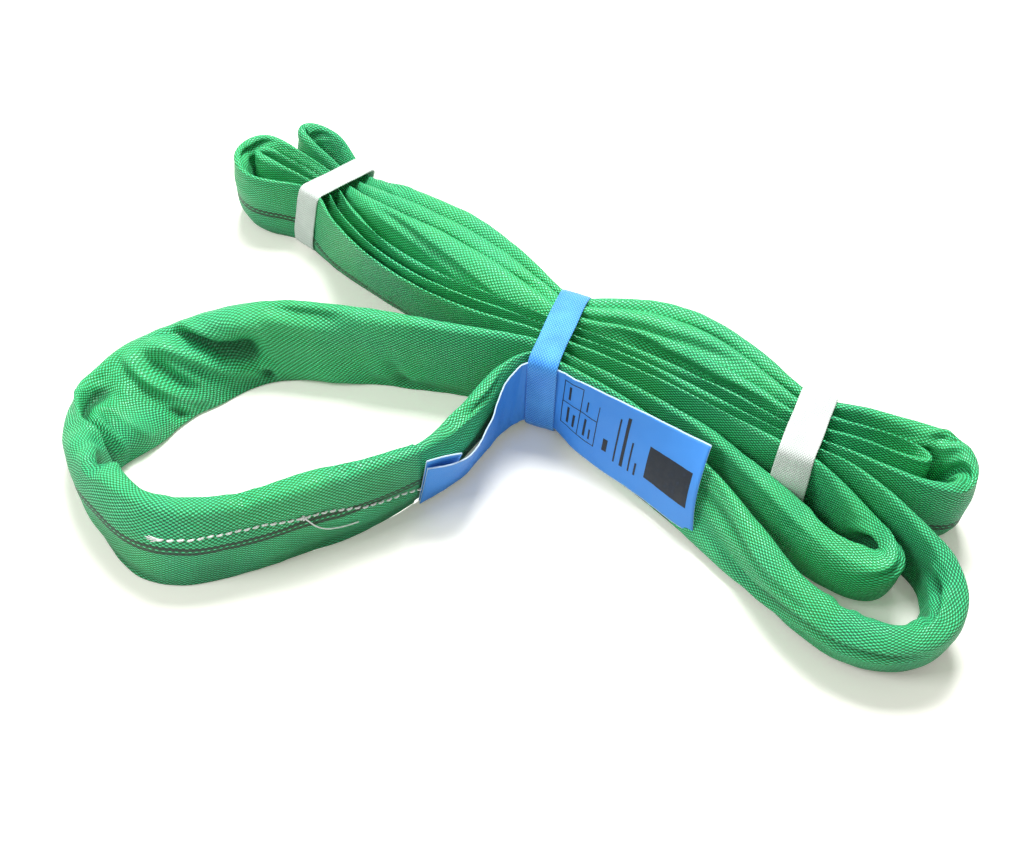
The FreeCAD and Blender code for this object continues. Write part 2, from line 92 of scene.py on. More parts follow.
class Nodes:
    """Short way to build the node tree of a new material or world."""

    def __init__(self, owner):
        self.owner = owner
        owner.use_nodes = True
        owner.node_tree.nodes.clear()

    def add(self, kind, values=None, **settings):
        """Node whose inputs, by name or number, get links, values or hex colours."""
        node = self.owner.node_tree.nodes.new("ShaderNode" + kind)
        for key, value in settings.items():
            setattr(node, key, value)
        for key, value in (values or {}).items():
            if isinstance(value, bpy.types.NodeSocket):
                self.owner.node_tree.links.new(value, node.inputs[key])
            else:
                node.inputs[key].default_value = rgb(value) if isinstance(value, str) else value
        return node

    def math(self, operation, *values):
        """Math node's result."""
        return self.add("Math", dict(enumerate(values)), operation=operation).outputs[0]

    def cosine(self, length, repeat):
        """Wave along a length."""
        return self.math("COSINE", self.math("MULTIPLY", length, 2 * pi / repeat))

    def mix(self, factor, first, second):
        """Colour between two colours."""
        return self.add("Mix", {0: factor, 6: first, 7: second}, data_type="RGBA").outputs[2]

    def noise(self, vector, scale, detail):
        """Noise value, 0 to 1."""
        inputs = {"Vector": vector, "Scale": scale, "Detail": detail}
        return self.add("TexNoise", inputs).outputs["Fac"]

    def between(self, value, low, high, out_low=0.0, out_high=1.0):
        """Smooth change from one value to another."""
        inputs = dict(enumerate((value, low, high, out_low, out_high)))
        return self.add("MapRange", inputs, interpolation_type="SMOOTHSTEP").outputs[0]

    def place(self):
        """Point of the surface in the piece's own space."""
        return self.add("TexCoord").outputs["Object"]

    def cloth_coordinates(self):
        """Along and across the cloth in metres, from the piece's UV map."""
        cloth = self.add("UVMap", uv_map="cloth").outputs[0]
        return self.add("SeparateXYZ", {0: cloth}).outputs[:2]

    def finish(self, shader, output="OutputMaterial"):
        """Material or world that ends in a shader."""
        self.add(output, {"Surface": shader.outputs[0]})
        return self.owner

    def finish_cloth(self, colour, roughness, height, strength, depth, extras=None):
        """Material of a cloth whose fine relief has a strength and a depth."""
        relief = self.add("Bump", {"Strength": strength, "Distance": depth, "Height": height})
        inputs = {"Base Color": colour, "Roughness": roughness, "Normal": relief.outputs[0]}
        return self.finish(self.add("BsdfPrincipled", inputs | (extras or {})))


def new_material(name):
    """Node tree of a new material."""
    return Nodes(bpy.data.materials.new(name))


# ---- floor, world and lamps
FLOOR_SIZE = 12.0
FLOOR_DROP = 0.0004      # keeps the floor just clear of the object's underside
FLOOR_GLOW = 0.16        # lifts the floor to white where the camera sees it
WORLD_STRENGTH = 0.42
LAMP_SIZE = 0.6


def make_floor():
    """Plain pale floor that keeps the object's shadow and reads white to the camera."""
    n = new_material("floor")
    seen = n.add("LightPath").outputs["Is Camera Ray"]
    colour = n.mix(seen, (0.80, 0.80, 0.77, 1), (1.0, 0.995, 0.94, 1))
    matt = n.add("BsdfDiffuse", {"Color": colour})
    strength = n.math("MULTIPLY", seen, FLOOR_GLOW)
    glow = n.add("Emission", {"Color": (1.0, 0.97, 0.84, 1), "Strength": strength})
    bpy.ops.mesh.primitive_plane_add(size=FLOOR_SIZE, location=(0, 0, -FLOOR_DROP))
    plane = bpy.context.object
    plane.name = "floor"
    both = n.add("AddShader", {0: matt.outputs[0], 1: glow.outputs[0]})
    plane.data.materials.append(n.finish(both))


def make_world():
    """Even light from all round, white to the camera."""
    n = Nodes(bpy.data.worlds.new("surroundings"))
    seen = n.add("LightPath").outputs["Is Camera Ray"]
    light = n.add("Background", {"Color": (1.0, 0.985, 0.94, 1), "Strength": WORLD_STRENGTH})
    white = n.add("Background", {"Color": (1, 1, 1, 1)})
    both = n.add("MixShader", {0: seen, 1: light.outputs[0], 2: white.outputs[0]})
    scene.world = n.finish(both, "OutputWorld")


def make_lamp(name, place, power):
    """Square area lamp aimed at the object."""
    data = bpy.data.lights.new(name, "AREA")
    data.size = LAMP_SIZE
    data.energy = power
    lamp = add_object(name, data)
    lamp.location = place
    lamp.rotation_euler = (Vector(place) - VIEW_CENTRE).to_track_quat("Z", "Y").to_euler()


make_floor()
make_world()
make_lamp("lamp_above", (-0.3, 0.7, 1.5), 38.0)
make_lamp("lamp_front", (-0.9, -0.9, 1.5), 13.0)


# ---- materials
WEAVE_ALONG = 0.0030     # repeat of the sleeve's basket weave, in metres
WEAVE_ACROSS = 0.0021
TRACER_LINES = (0.0950, 0.0985)      # two dark yarns, measured round the sleeve
TRACER_HALF_WIDTH = 0.0012
COATING_REPEATS = 9000   # fine grain of the label's cloth


def sleeve_material():
    """Green woven sleeve with tracer yarns: shiny floats painted brighter as a painted glint, over
    filling painted darker as painted shade.
    """
    n = new_material("woven_sleeve")
    along, across = n.cloth_coordinates()
    place = n.place()
    wobble = n.math("MULTIPLY", n.math("SUBTRACT", n.noise(place, 90, 1), 0.5), 0.0009)
    warp = n.cosine(n.math("ADD", along, wobble), WEAVE_ALONG)
    weft = n.cosine(n.math("ADD", across, wobble), WEAVE_ACROSS)
    float_height = n.math("MULTIPLY_ADD", n.math("MULTIPLY", warp, weft), 0.5, 0.5)
    raised = n.between(float_height, 0.3, 0.8)
    drawn_out = {0: n.math("MULTIPLY", along, 900), 1: n.math("MULTIPLY", across, 5200)}
    yarn = n.noise(n.add("CombineXYZ", drawn_out).outputs[0], 1.0, 2)
    fade = n.between(n.noise(place, 18, 3), 0.35, 0.65)
    # Weave pattern with painted light: the floats get a painted glint colour, streaked along the
    # yarn, and the filling between them painted shade in tones that vary at random.
    float_colour_with_painted_glint = n.mix(n.between(yarn, 0.3, 0.7), "22D87A", "62FFBE")
    colour = n.mix(raised, n.mix(fade, "06663E", "1C7828"), float_colour_with_painted_glint)

    # Painted shade in the cloth's valleys and painted highlight on its ridges, by the mesh's fold
    # value in mm.
    fold = n.add("Attribute", attribute_name="fold").outputs["Fac"]
    colour = n.mix(n.between(fold, -0.5, -5.0, 0.0, 0.62), colour, "033A20")
    colour = n.mix(n.between(fold, 1.0, 5.0, 0.0, 0.16), colour, "5CE68E")

    round_sleeve = n.math("FLOORED_MODULO", across, SLEEVE_ROUND * MM)
    for line in TRACER_LINES:
        distance = n.math("ABSOLUTE", n.math("SUBTRACT", round_sleeve, line))
        band = n.math("LESS_THAN", distance, TRACER_HALF_WIDTH)
        dash = n.math("MULTIPLY", band, n.between(float_height, 0.35, 0.6, 0.45, 1.0))
        colour = n.mix(dash, colour, "0C1A15")
    return n.finish_cloth(colour, n.between(raised, 0.0, 1.0, 0.7, 0.3),
                          n.math("MULTIPLY_ADD", yarn, 0.15, raised), 0.9, 0.0006,
                          {"Sheen Weight": 0.04, "Sheen Roughness": 0.4,
                           "Sheen Tint": "8CF5B4", "Specular IOR Level": 0.6})


def webbing_material(name, shade, lit, rib):
    """Flat woven band: fine ribs along it, crossed by a close filling."""
    n = new_material(name)
    along, across = n.cloth_coordinates()
    weave = n.math("MULTIPLY", n.cosine(across, rib), n.cosine(along, rib * 1.25))
    cloth = n.math("MULTIPLY_ADD", weave, 0.5, 0.5)
    tone = n.math("MULTIPLY_ADD", n.noise(n.place(), 60, 3), 0.5, n.math("MULTIPLY", cloth, 0.5))
    return n.finish_cloth(n.mix(n.between(tone, 0.2, 0.8), shade, lit),
                          n.between(cloth, 0, 1, 0.65, 0.42), cloth, 0.7, 0.00035,
                          {"Sheen Weight": 0.4})


def label_material():
    """Blue coated label cloth; its selvedges and its whole back are pale."""
    n = new_material("label_cloth")
    along, across = n.cloth_coordinates()
    fade = n.noise(n.place(), 35, 3)
    grain = [n.math("SINE", n.math("MULTIPLY", way, COATING_REPEATS)) for way in (along, across)]
    half = LABEL_WIDTH * MM / 2
    off_middle = n.math("ABSOLUTE", n.math("SUBTRACT", across, half))
    pale = n.math("GREATER_THAN", off_middle, half - SELVEDGE * MM)
    return n.finish_cloth(n.mix(pale, n.mix(fade, "2F86E6", "4BA0F5"), "C4DEF8"),
                          n.between(fade, 0.3, 0.7, 0.42, 0.55),
                          n.math("MULTIPLY", *grain), 0.35, 0.00015,
                          {"Coat Weight": 0.12, "Coat Roughness": 0.35})


def thread_material(name, shade, lit):
    """Twisted thread or yarn."""
    n = new_material(name)
    twist = n.noise(n.place(), 1800, 2)
    return n.finish_cloth(n.mix(n.between(twist, 0.35, 0.65), shade, lit),
                          n.between(twist, 0.3, 0.7, 0.8, 0.55), twist, 0.6, 0.0002,
                          {"Sheen Weight": 0.3})


def ink_material():
    """Matt printing ink, worn thin in places."""
    n = new_material("ink")
    wear = n.noise(n.place(), 260, 3)
    return n.finish_cloth(n.mix(n.between(wear, 0.5, 0.9), "1B2430", "2A3648"),
                          n.between(wear, 0.3, 0.7, 0.5, 0.65), wear, 0.2, 0.0001)


# ---- sizes and tables, in mm
FIN = 5.0                # thickness of a flattened foot
STRAND_HEIGHT = 60.0
TIE_THICKNESS = 1.0
TIE_GAP = 0.35
TIE_LIFT = TIE_THICKNESS + TIE_GAP
LAY_GAP = 1.1
SHOULDER_LEVEL = 0.68    # share of the height at which a strand is fully thick
LABEL_WIDTH = 50.0
LABEL_THICKNESS = 0.8
SELVEDGE = 0.4
LABEL_BOTTOM = 8.0
LABEL_TOP = LABEL_BOTTOM + LABEL_WIDTH
SLEEVE_ROUND = 130.0     # girth of the sleeve

# Rows of the hank: foot of the nearest lay (x, y), turn in degrees, pitch of the feet, the
# six top edges measured across from that foot, and the sag of the nearest and farthest.
LEFT_TIE_ROWS = [
    (-204, 24.5, 15, 5.8, (7, 15, 24, 32.5, 41.5, 51), 14, 31),
    (-195, 21.5, 14, 5.8, (8, 16, 24.5, 33, 42, 51), 14, 31),
    (-186, 18.5, 13, 5.8, (8, 16, 24.5, 33, 42, 51), 13, 29),
]
LEFT_ROWS = [
    (-163, 12.5, 11, 6.0, (-6, 1, 9, 23, 34, 46), 3, 12),
    (-120, 7, 6, 6.2, (-17, -9, 0, 25, 37, 49), 2, 8),
    (-75, 1, 2, 6.2, (-15, -7, 2, 26, 37.5, 49), 2, 6),
    (-38, -4, -4, 6.3, (-6, 1, 9, 22, 32.5, 43), 1, 4),
]
MIDDLE_TIE_ROWS = [
    (-10, -10, -10, 6.4, (4, 10.5, 17, 23.5, 30.5, 38), 0, 4),
    (0, -10.5, -10, 6.4, (4.5, 11, 17.5, 24, 31, 38), 0, 4),
    (10, -10.5, -10, 6.4, (5, 11.5, 18, 25, 32, 39.5), 0, 4),
]
RIGHT_ROWS = [
    (40, -9, -7, 6.6, (7, 14, 21, 35, 47, 58.5), 1, 5),
    (75, -8, -6, 6.6, (6, 13, 20, 36, 48, 61), 1, 5),
    (108, -8, -7, 6.5, (3, 10, 17.5, 31, 42.5, 54), 1, 5),
]
RIGHT_TIE_ROWS = [
    (138, -9, -8, 6.3, (1.5, 8.5, 15.5, 23.5, 32, 41), 0, 3),
    (148, -9.5, -8, 6.3, (1.5, 8.5, 15.5, 23.5, 32, 41), 0, 3),
    (158, -9.5, -8, 6.3, (1, 8, 15, 23.5, 32.5, 42), 0, 3),
]
HANK_ROWS = LEFT_TIE_ROWS + LEFT_ROWS + MIDDLE_TIE_ROWS + RIGHT_ROWS + RIGHT_TIE_ROWS
TIE_ROWS = LEFT_TIE_ROWS + MIDDLE_TIE_ROWS + RIGHT_TIE_ROWS
LAYS = 6

# Stations of the rest of the route: foot (x, y), top edge (x, y), sag, and thickness at
# the foot and near the top.
NECK = [
    (-22, -38, -18.5, -38, 3, FIN, 9),
    (-26, -58, -19, -57, 7, 7, 16),
    (-27.5, -82, -19.5, -80, 8, 8, 17.5),
]
EYE_JOINT = [
    (-31.5, -107, -27, -108, 4, 5.5, 13),
    (-44.5, -136, -43.5, -124, 3, 5.5, 18),
    (-60.5, -158, -60.5, -145, 3, 5.5, 19),
    (-78.5, -182, -78.5, -166, 4, 5.5, 19),
    (-97, -204, -97, -186, 6, 5.5, 19),
    (-120, -223.5, -119, -201, 8, 6, 19),
]
EYE_BEND = [
    (-149, -223.5, -147, -203, 10, 8, 19),
    (-178, -207, -175, -198, 16, 14, 19),
    (-194, -186, -207, -184, 26, 22, 20),
    (-189, -158, -229, -163, 35, 22, 20),
    (-181, -131, -231, -138, 36, 18, 20),
    (-172, -108, -222, -114, 31, 14, 20),
    (-160, -87, -203, -90, 22, 9, 19),
    (-143, -70, -176, -67, 14, 6, 17),
    (-119, -56, -142, -52, 8, FIN, 15),
    (-87, -43, -100, -40, 4, FIN, 13),
    (-50, -29.5, -53, -27, 2, FIN, 10),
    (-26, -21, -26, -17.5, 0, FIN, 7),
]
INNER_BIGHT = [
    (38, -16, 37, -12.5, 1, 6, 6.5),
    (68, -16.5, 67, -12.5, 3, 6, 7),
    (98, -17, 97, -13.5, 7, 7, 9),
    (128, -24, 126, -20, 12, 9, 13),
    (154, -34, 151, -29, 17, 13, 16),
    (179, -39, 177, -37, 20, 14, 18),
    (199, -39.5, 201, -40, 21, 14, 18),
    (211, -33, 214, -32.5, 21, 13, 16),
    (209, -25, 211, -23, 20, 11, 12),
    (194, -18, 195, -16, 14, 8, 9),
    (172, -13, 173, -11, 6, 7, 7),
]
NEAR_LOBE_OUTER = [
    (-229, 18, -227, 14, 10, 8, 9),
    (-245, 23, -246, 20, 10, 10, 10),
    (-254, 35, -254, 36, 10, 11, 11),
    (-248, 49, -248, 52.5, 12, 9, 10),
    (-230, 51.5, -228, 55.5, 13, 6.5, 8),
]
FAR_FOLD_INNER = [
    (171, 14, 170, 17.5, 2, 6, 6.5),
    (190, 18, 190, 21.5, 6, 7, 7),
    (203, 21.5, 204, 24, 9, 7, 7),
    (208, 26.5, 211, 29, 10, 7, 7),
    (202, 31, 203, 34.5, 9, 7, 7),
    (187, 28, 186, 33, 6, 7, 7),
]
FAR_LOBE = [
    (-219, 57, -218, 64, 14, FIN, 8),
    (-231, 61.5, -232, 67, 12, 7, 9),
    (-228, 70.5, -228, 76, 11, 8, 9),
    (-213, 73, -207, 82, 15, 7, 9),
]
FAR_FOLD_OUTER = [
    (168, 30.5, 166, 38.5, 3, 6, 7),
    (192, 38, 193, 45, 6, 8, 9),
    (215, 43, 218, 48, 8, 9, 10),
    (230, 37, 232, 38.5, 10, 11, 11),
    (231, 22, 233, 20.5, 10, 11, 11),
    (216, 13, 217, 11, 6, 9, 9),
    (192, 9, 193, 8, 3, 7, 7.5),
    (168, 5.5, 168, 6.5, 0, 6, 6),
]
NEAR_LOBE_INNER = [
    (-223, 41.5, -222, 45.5, 14, FIN, 6),
    (-236, 42.3, -236, 44.4, 12, 6, 7),
    (-242, 38, -243, 38.5, 10, 7, 7),
    (-236, 34.5, -237, 34.5, 10, 6, 7),
    (-223, 36, -223, 36.5, 13, FIN, 6),
]
OUTER_BIGHT = [
    (173, -1, 173, 0, 1, 6, 6.5),
    (196, -5, 197, -5.5, 4, 8, 8),
    (218, -10, 220, -11.5, 8, 9, 10),
    (239, -21, 243, -21, 14, 13, 14),
    (248, -40, 254, -40, 19, 18, 19),
    (243, -58, 249, -62, 22, 20, 21),
    (225, -69, 228, -76, 22, 21, 21),
    (202, -70, 200, -77, 22, 21, 21),
    (179, -64, 175, -70, 20, 18, 19),
    (156, -56, 152, -58, 18, 14, 16),
    (130, -48, 128, -38.5, 18, 11, 12),
    (100, -40, 98, -24.5, 18, 8, 8.5),
    (68, -37, 68, -22.5, 6, 7.5, 8),
    (40, -33.5, 40, -20.6, 2, 7.5, 6.5),
]
# Foot and top edge of the eye's two strands, measured across the middle tie's rows.
EYE_STRAND_IN_TIE = (-6.8, -2.8)
NECK_IN_TIE = (-13.6, -10.0)
TIED_TOP_THICKNESS = 5.6

# Stations along the label: lower edge (x, y, z), upper edge (x, y, z) and bulge.
LABEL_SEWN = [
    (-28.0, -108.8, 4, -20.0, -109.3, 46, 0),
    (-20.5, -92, 4, -4, -96, 46, 0),
    (-16, -78, 4.5, -3, -80, 49, 0),
    (-15, -62, 5, -6, -63, 52, 0),
    (-13.5, -47, 6, -10, -47, 55, 0),
    (-10, -37, 7, -9.5, -36, 57, 0),
]
LABEL_ACROSS_TIE = [(-20.2, -17.8), (-17.2, -13.9), (-17.1, -13.8)]
LABEL_FREE = [
    (20, -31.5, LABEL_BOTTOM, 20.5, -25.2, LABEL_TOP, 0),
    (42, -39.3, LABEL_BOTTOM, 41, -25.0, LABEL_TOP, 0.5),
    (70, -43, 9, 68, -26, 58, 1),
    (92, -48.5, 8, 90, -26, 57, 3.5),
    (113, -52, 8, 106, -26.5, 57, 6.5),
]
LABEL_TAB = [
    (-29.2, -107.9, 5, -20.9, -108.5, 51, 0),
    (-25.6, -98.5, 5, -14, -100, 51, 0),
    (-22.2, -91, 5, -7.4, -94.4, 51, 0),
]


# ---- once round the sling
def row_point(row, across):
    """Point (x, y) of a hank row, this far across it from the nearest lay's foot."""
    turn = radians(row[2])
    return row[0] + across * sin(turn), row[1] + across * cos(turn)


def row_station(row, foot, top, sag, foot_thickness, top_thickness):
    """Station whose foot and top edge are measured across a hank row."""
    return row_point(row, foot) + row_point(row, top) + (sag, foot_thickness, top_thickness)


def lay_station(row, lay):
    """Station of one folded lay in one row; it fills the room its neighbours leave."""
    pitch, tops, near_sag, far_sag = row[3:]
    foot, top = pitch * lay, tops[lay]
    sag = near_sag + (far_sag - near_sag) * lay / (LAYS - 1)
    height = STRAND_HEIGHT - sag
    upright = height / hypot(height, top - foot)
    spacing = min(tops[k + 1] - tops[k] for k in (lay - 1, lay) if 0 <= k < LAYS - 1)
    at_shoulder = pitch + (spacing - pitch) * SHOULDER_LEVEL
    thickness, foot_thickness = (room * upright - LAY_GAP for room in (at_shoulder, pitch))
    return row_station(row, foot, top, sag, foot_thickness, thickness)


def smoothed(around, t):
    """Uniform cubic blend of four neighbouring stations, t of the way past the second."""
    weights = ((1 - t) ** 3 / 6, (3 * t ** 3 - 6 * t * t + 4) / 6,
               (-3 * t ** 3 + 3 * t * t + 3 * t + 1) / 6, t ** 3 / 6)
    return [sum(w * station[i] for w, station in zip(weights, around))
            for i in range(len(around[0]))]


stations, lifts, FIRST, LAST = [], [], {}, {}


def add_stretch(name, stretch, rows=()):
    """Append one stretch of the route; in a tie's rows its feet stand on the tie."""
    FIRST[name] = len(stations)
    stations.extend(stretch)
    lifts.extend([TIE_LIFT if row in TIE_ROWS else 0.0 for row in rows] or [0.0] * len(stretch))
    LAST[name] = len(stations) - 1


def add_tied(name, places, leftwards):
    """Append one strand of the eye where the middle tie holds it."""
    rows = MIDDLE_TIE_ROWS[::-1] if leftwards else MIDDLE_TIE_ROWS
    add_stretch(name, [row_station(row, *places, 0, FIN, TIED_TOP_THICKNESS) for row in rows],
                rows)


def add_lay(number, leftwards):
    """Append one folded lay, 0 nearest to 5 farthest."""
    rows = HANK_ROWS[::-1] if leftwards else HANK_ROWS
    add_stretch(f"lay {number}", [lay_station(row, number) for row in rows], rows)


add_tied("neck in tie", NECK_IN_TIE, leftwards=True)
add_stretch("neck", NECK)
add_stretch("eye joint", EYE_JOINT)
add_stretch("eye bend", EYE_BEND)
add_tied("eye strand in tie", EYE_STRAND_IN_TIE, leftwards=False)
add_stretch("inner bight", INNER_BIGHT)
add_lay(0, leftwards=True)
add_stretch("near lobe outer", NEAR_LOBE_OUTER)
add_lay(3, leftwards=False)
add_stretch("far fold inner", FAR_FOLD_INNER)
add_lay(4, leftwards=True)
add_stretch("far lobe", FAR_LOBE)
add_lay(5, leftwards=False)
add_stretch("far fold outer", FAR_FOLD_OUTER)
add_lay(2, leftwards=True)
add_stretch("near lobe inner", NEAR_LOBE_INNER)
add_lay(1, leftwards=False)
add_stretch("outer bight", OUTER_BIGHT)
ROUND = len(stations)


def smooth_step(value, low, high):
    """0 below low, 1 above high, smooth between."""
    t = min(max((value - low) / (high - low), 0), 1)
    return t * t * (3 - 2 * t)


def station_at(place):
    """Smoothed station and its lift at a place counted in stations."""
    index = floor(place)
    t = place - index
    around = [stations[(index + k) % ROUND] for k in (-1, 0, 1, 2)]
    here, there = lifts[index % ROUND], lifts[(index + 1) % ROUND]
    return smoothed(around, t), here + (there - here) * smooth_step(t, 0, 1)


def middle_of(place):
    """Middle of the strand's section at a place."""
    s = station_at(place)[0]
    return Vector(((s[0] + s[2]) / 2, (s[1] + s[3]) / 2, (STRAND_HEIGHT - s[4]) / 2))


class Tape:
    """Lengths along a line through points."""

    def __init__(self, points):
        self.marks = [0.0]
        for a, b in zip(points, points[1:]):
            self.marks.append(self.marks[-1] + (b - a).length)

    def length(self, spot):
        """Length at a spot counted in points."""
        k = min(int(spot), len(self.marks) - 2)
        return self.marks[k] + (self.marks[k + 1] - self.marks[k]) * (spot - k)

    def find(self, length):
        """Number of the point before a length, and the share of the way to the next."""
        k = bisect.bisect_left(self.marks, length, 1, len(self.marks) - 1) - 1
        return k, (length - self.marks[k]) / (self.marks[k + 1] - self.marks[k])


FINE = 25                # samples of the route to each station
ROUTE = Tape([middle_of(k / FINE) for k in range(2 * ROUND * FINE + 1)])     # two rounds


def length_at(place):
    """Length along the route at a place."""
    return ROUTE.length(place * FINE)


def places_between(start, stop, step):
    """Places about one step apart along the route."""
    first, last = length_at(start), length_at(stop)
    count = max(2, round((last - first) / step))
    return [sum(ROUTE.find(first + (last - first) * i / count)) / FINE for i in range(count + 1)]


# ---- strand surface
RING = 60                # points round a strand
STEP = 1.7               # distance between rings along it
SLEEVE_WALL = 1.0
TUCKED_INSET = 1.2       # the sleeve's inner end lies this far inside the outer one
COURSE_REACH = 0.4       # stations looked back and ahead for a section's direction
CROWN_TAPER = 0.72       # part of its thickness that a crisp crown loses
FOOT_TAPER = 0.45        # and that every foot loses
THINNEST = 0.3
MID_TIE_NECK = FIRST["neck in tie"] + 1
MID_TIE_STRAND = FIRST["eye strand in tie"] + 1
JOINT_START = FIRST["eye joint"]
JOINT_END = LAST["eye joint"]
LAY_0_TIE = FIRST["lay 0"] + 1
LAY_1_TIE = LAST["lay 1"] - 1

# How sharply the top edge is creased, 0 for a round edge: places on the route and values.
CRISPNESS = [(0, 0.3), (5, 0.1), (24, 0.0), (26, 0.6), (30, 0.1), (36, 0.1), (38, 0.0),
             (40, 0.1), (42, 0.85), (45, 0.6), (48, 0.95), (51, 0.3), (53, 0.3), (56, 0.6),
             (60, 0.5), (63, 0.1), (66, 0.1), (68, 0.5), (74, 0.3), (76, 0.7), (80, 0.7),
             (82, 0.15), (85, 0.0), (93, 0.0), (98, 0.6), (101, 0.1), (104, 0.0), (116, 0.0),
             (120, 0.25), (124, 0.5), (126, 0.9), (140, 0.9), (144, 0.7), (147, 1.0),
             (160, 0.9), (164, 0.1), (171, 0.0), (173, 0.5), (176, 0.3)]
# How far the sleeve is rolled round the strand, which moves its tracer yarns down.
ROLL = [(0, 22), (5, 22), (5.9, 0), (24, 0), (27, 22), (50, 22), (54, 5), (58, 5), (62, 20),
        (114, 20), (117, 12), (123, 12), (127, 22), (176, 22)]


def along_table(table, place):
    """Value of a table of (place, value) at a place, smooth between its rows."""
    place %= ROUND
    for (a, low), (b, high) in zip(table, table[1:]):
        if place <= b:
            return low + (high - low) * smooth_step(place, a, b)
    return table[-1][1]


class Section:
    """Upright section of the strand at one place of the route."""

    def __init__(self, place):
        station, self.lift = station_at(place)
        steps = (-COURSE_REACH, 0.0, COURSE_REACH)
        before, here, after = (middle_of(place + step) for step in steps)
        course = after - before
        self.place = place
        self.along = length_at(place)
        self.foot = Vector((station[0], station[1], self.lift))
        rise = Vector((station[2], station[3], STRAND_HEIGHT - station[4])) - self.foot
        self.reach = rise.length
        self.up = rise / self.reach
        side = Vector((-course.y, course.x, 0))
        self.side = (side - self.up * side.dot(self.up)).normalized()
        self.course = self.side.cross(self.up)
        self.foot_thick, self.top_thick = station[5:]
        self.crisp = along_table(CRISPNESS, place)
        first, second = here - before, after - here
        turn = first.x * second.y - first.y * second.x
        self.bend = turn / (first.length * second.length * course.length / 2)

    def half_width(self, level):
        """Half the strand's thickness at a level, before its edges are rounded."""
        share = (0.3 * smooth_step(level, 0.0, 0.34) +
                 0.7 * smooth_step(level, 0.25, SHOULDER_LEVEL))
        return 0.5 * (self.foot_thick + (self.top_thick - self.foot_thick) * share)

    def ring(self, inset):
        """Closed ring of points, from the foot up the right side and down the left."""
        points = []
        span = self.reach - 2 * inset
        for k in range(RING):
            turn = 2 * pi * k / RING
            c, s = cos(turn), sin(turn)
            level = 0.5 - 0.5 * copysign(abs(c) ** 0.8, c)
            width = self.half_width(level)
            width *= 1 - CROWN_TAPER * self.crisp * smooth_step(level, 0.3, 1.0)
            taper = 1 - FOOT_TAPER + FOOT_TAPER * smooth_step(level, 0.0, 0.25)
            width = max(width * taper - inset, THINNEST)
            offset = -copysign(abs(s) ** 0.6, s) * width
            spot = self.foot + self.up * (inset + span * level) + self.side * offset
            below = self.lift + inset - spot.z
            if below > 0:
                spot += self.up * (below / self.up.z)
            points.append(spot)
        return points


# Closing seam of the sleeve: places on the route and percent of the way round.
SEAM = [(5.98, 78.5), (6.36, 76.8), (7.1, 75), (7.97, 72.2), (8.55, 71.2),
        (9.3, 69.4), (10.2, 69), (11.05, 70)]
# Creases: points (place, percent of the way round), half width, and depth, negative for
# a ridge.
CREASES = [
    # neck and closing seam
    ([(3.2, 58.3), (3.8, 58), (4.7, 50), (5.3, 50)], 3.0, 2.6),
    (SEAM, 1.8, 0.9),
    ([(7.6, 56), (7.7, 45)], 4.0, 1.4),
    ([(9.55, 56), (9.65, 45)], 4.0, 1.6),
    # open eye
    ([(12.85, 53), (13.2, 42), (13.5, 25)], 4.5, 6.0),
    ([(13.6, 56), (14.0, 42), (14.1, 32)], 6.0, -1.6),
    ([(14.1, 13), (14.12, 27), (14.46, 36.7), (15.1, 37), (15.8, 32)], 4.5, 7.5),
    ([(14.8, 28), (15.5, 34), (16.2, 42)], 9.0, 4.0),
    ([(15.0, 44), (16.2, 50), (17.4, 52)], 6.0, -2.2),
    ([(16.25, 8), (16.35, 18)], 3.5, 3.0),
    ([(16.75, 22), (16.8, 32), (16.9, 44)], 4.0, -3.2),
    ([(17.1, 33), (17.15, 20)], 4.5, 5.0),
    ([(17.2, 42), (17.6, 37), (17.9, 29), (18.3, 20)], 5.0, -3.0),
    ([(17.7, 46), (18.0, 34), (18.2, 27), (18.6, 25.5), (18.95, 28)], 4.5, 8.0),
    ([(18.3, 40), (18.8, 38.5), (19.3, 36)], 7.0, -2.4),
    ([(18.55, 10), (18.7, 18)], 3.5, 2.6),
    ([(19.4, 48), (19.9, 42), (20.6, 40)], 5.0, 2.8),
    ([(21.2, 10), (21.0, 24)], 5.0, 1.8),
    # inner bight
    ([(31.8, 62), (33.2, 66), (34.4, 70), (35.4, 67), (36.2, 78)], 5.0, 6.5),
    ([(33.4, 36), (34.6, 44), (35.4, 40)], 3.0, 2.4),
    # folded lays and the folds that join them
    ([(55.2, 46), (56.3, 40), (57.4, 46)], 2.5, 2.4),
    ([(62.2, 47), (63.4, 40), (65.0, 36)], 2.6, 2.4),
    ([(68.7, 42), (69.5, 35), (70.5, 33), (71.5, 39)], 5.0, 3.6),
    ([(84.0, 55), (85.6, 60), (87.6, 57)], 3.0, 2.4),
    ([(89.0, 52), (90.4, 60), (92.0, 62)], 3.2, 2.0),
    ([(97.6, 44), (98.6, 36), (99.6, 42)], 2.5, 2.4),
    ([(103.6, 52), (104.0, 49), (104.4, 44)], 3.5, 1.6),
    ([(109.2, 42), (110.6, 36), (112.6, 40)], 3.0, 2.6),
    ([(117.6, 26), (118.1, 30), (118.7, 35)], 3.5, 4.4),
    ([(118.5, 42), (119.1, 53)], 3.0, 3.4),
    ([(119.3, 28), (120.1, 42), (121.1, 52)], 3.5, 4.0),
    # outer bight
    ([(164.2, 60), (165.2, 70), (165.8, 78)], 4.0, 2.4),
    ([(164.8, 30), (166.2, 36), (167.2, 44)], 3.5, 3.2),
    ([(167.3, 66), (168.15, 66.7), (169.28, 68.3), (170.75, 79), (172.4, 80)], 3.2, 3.4),
    ([(167.6, 22), (167.7, 40)], 4.0, 1.5),
    ([(168.9, 22), (169.0, 40)], 4.0, 1.7),
    ([(169.5, 60), (171.0, 66), (172.6, 70)], 3.0, 2.0),
]
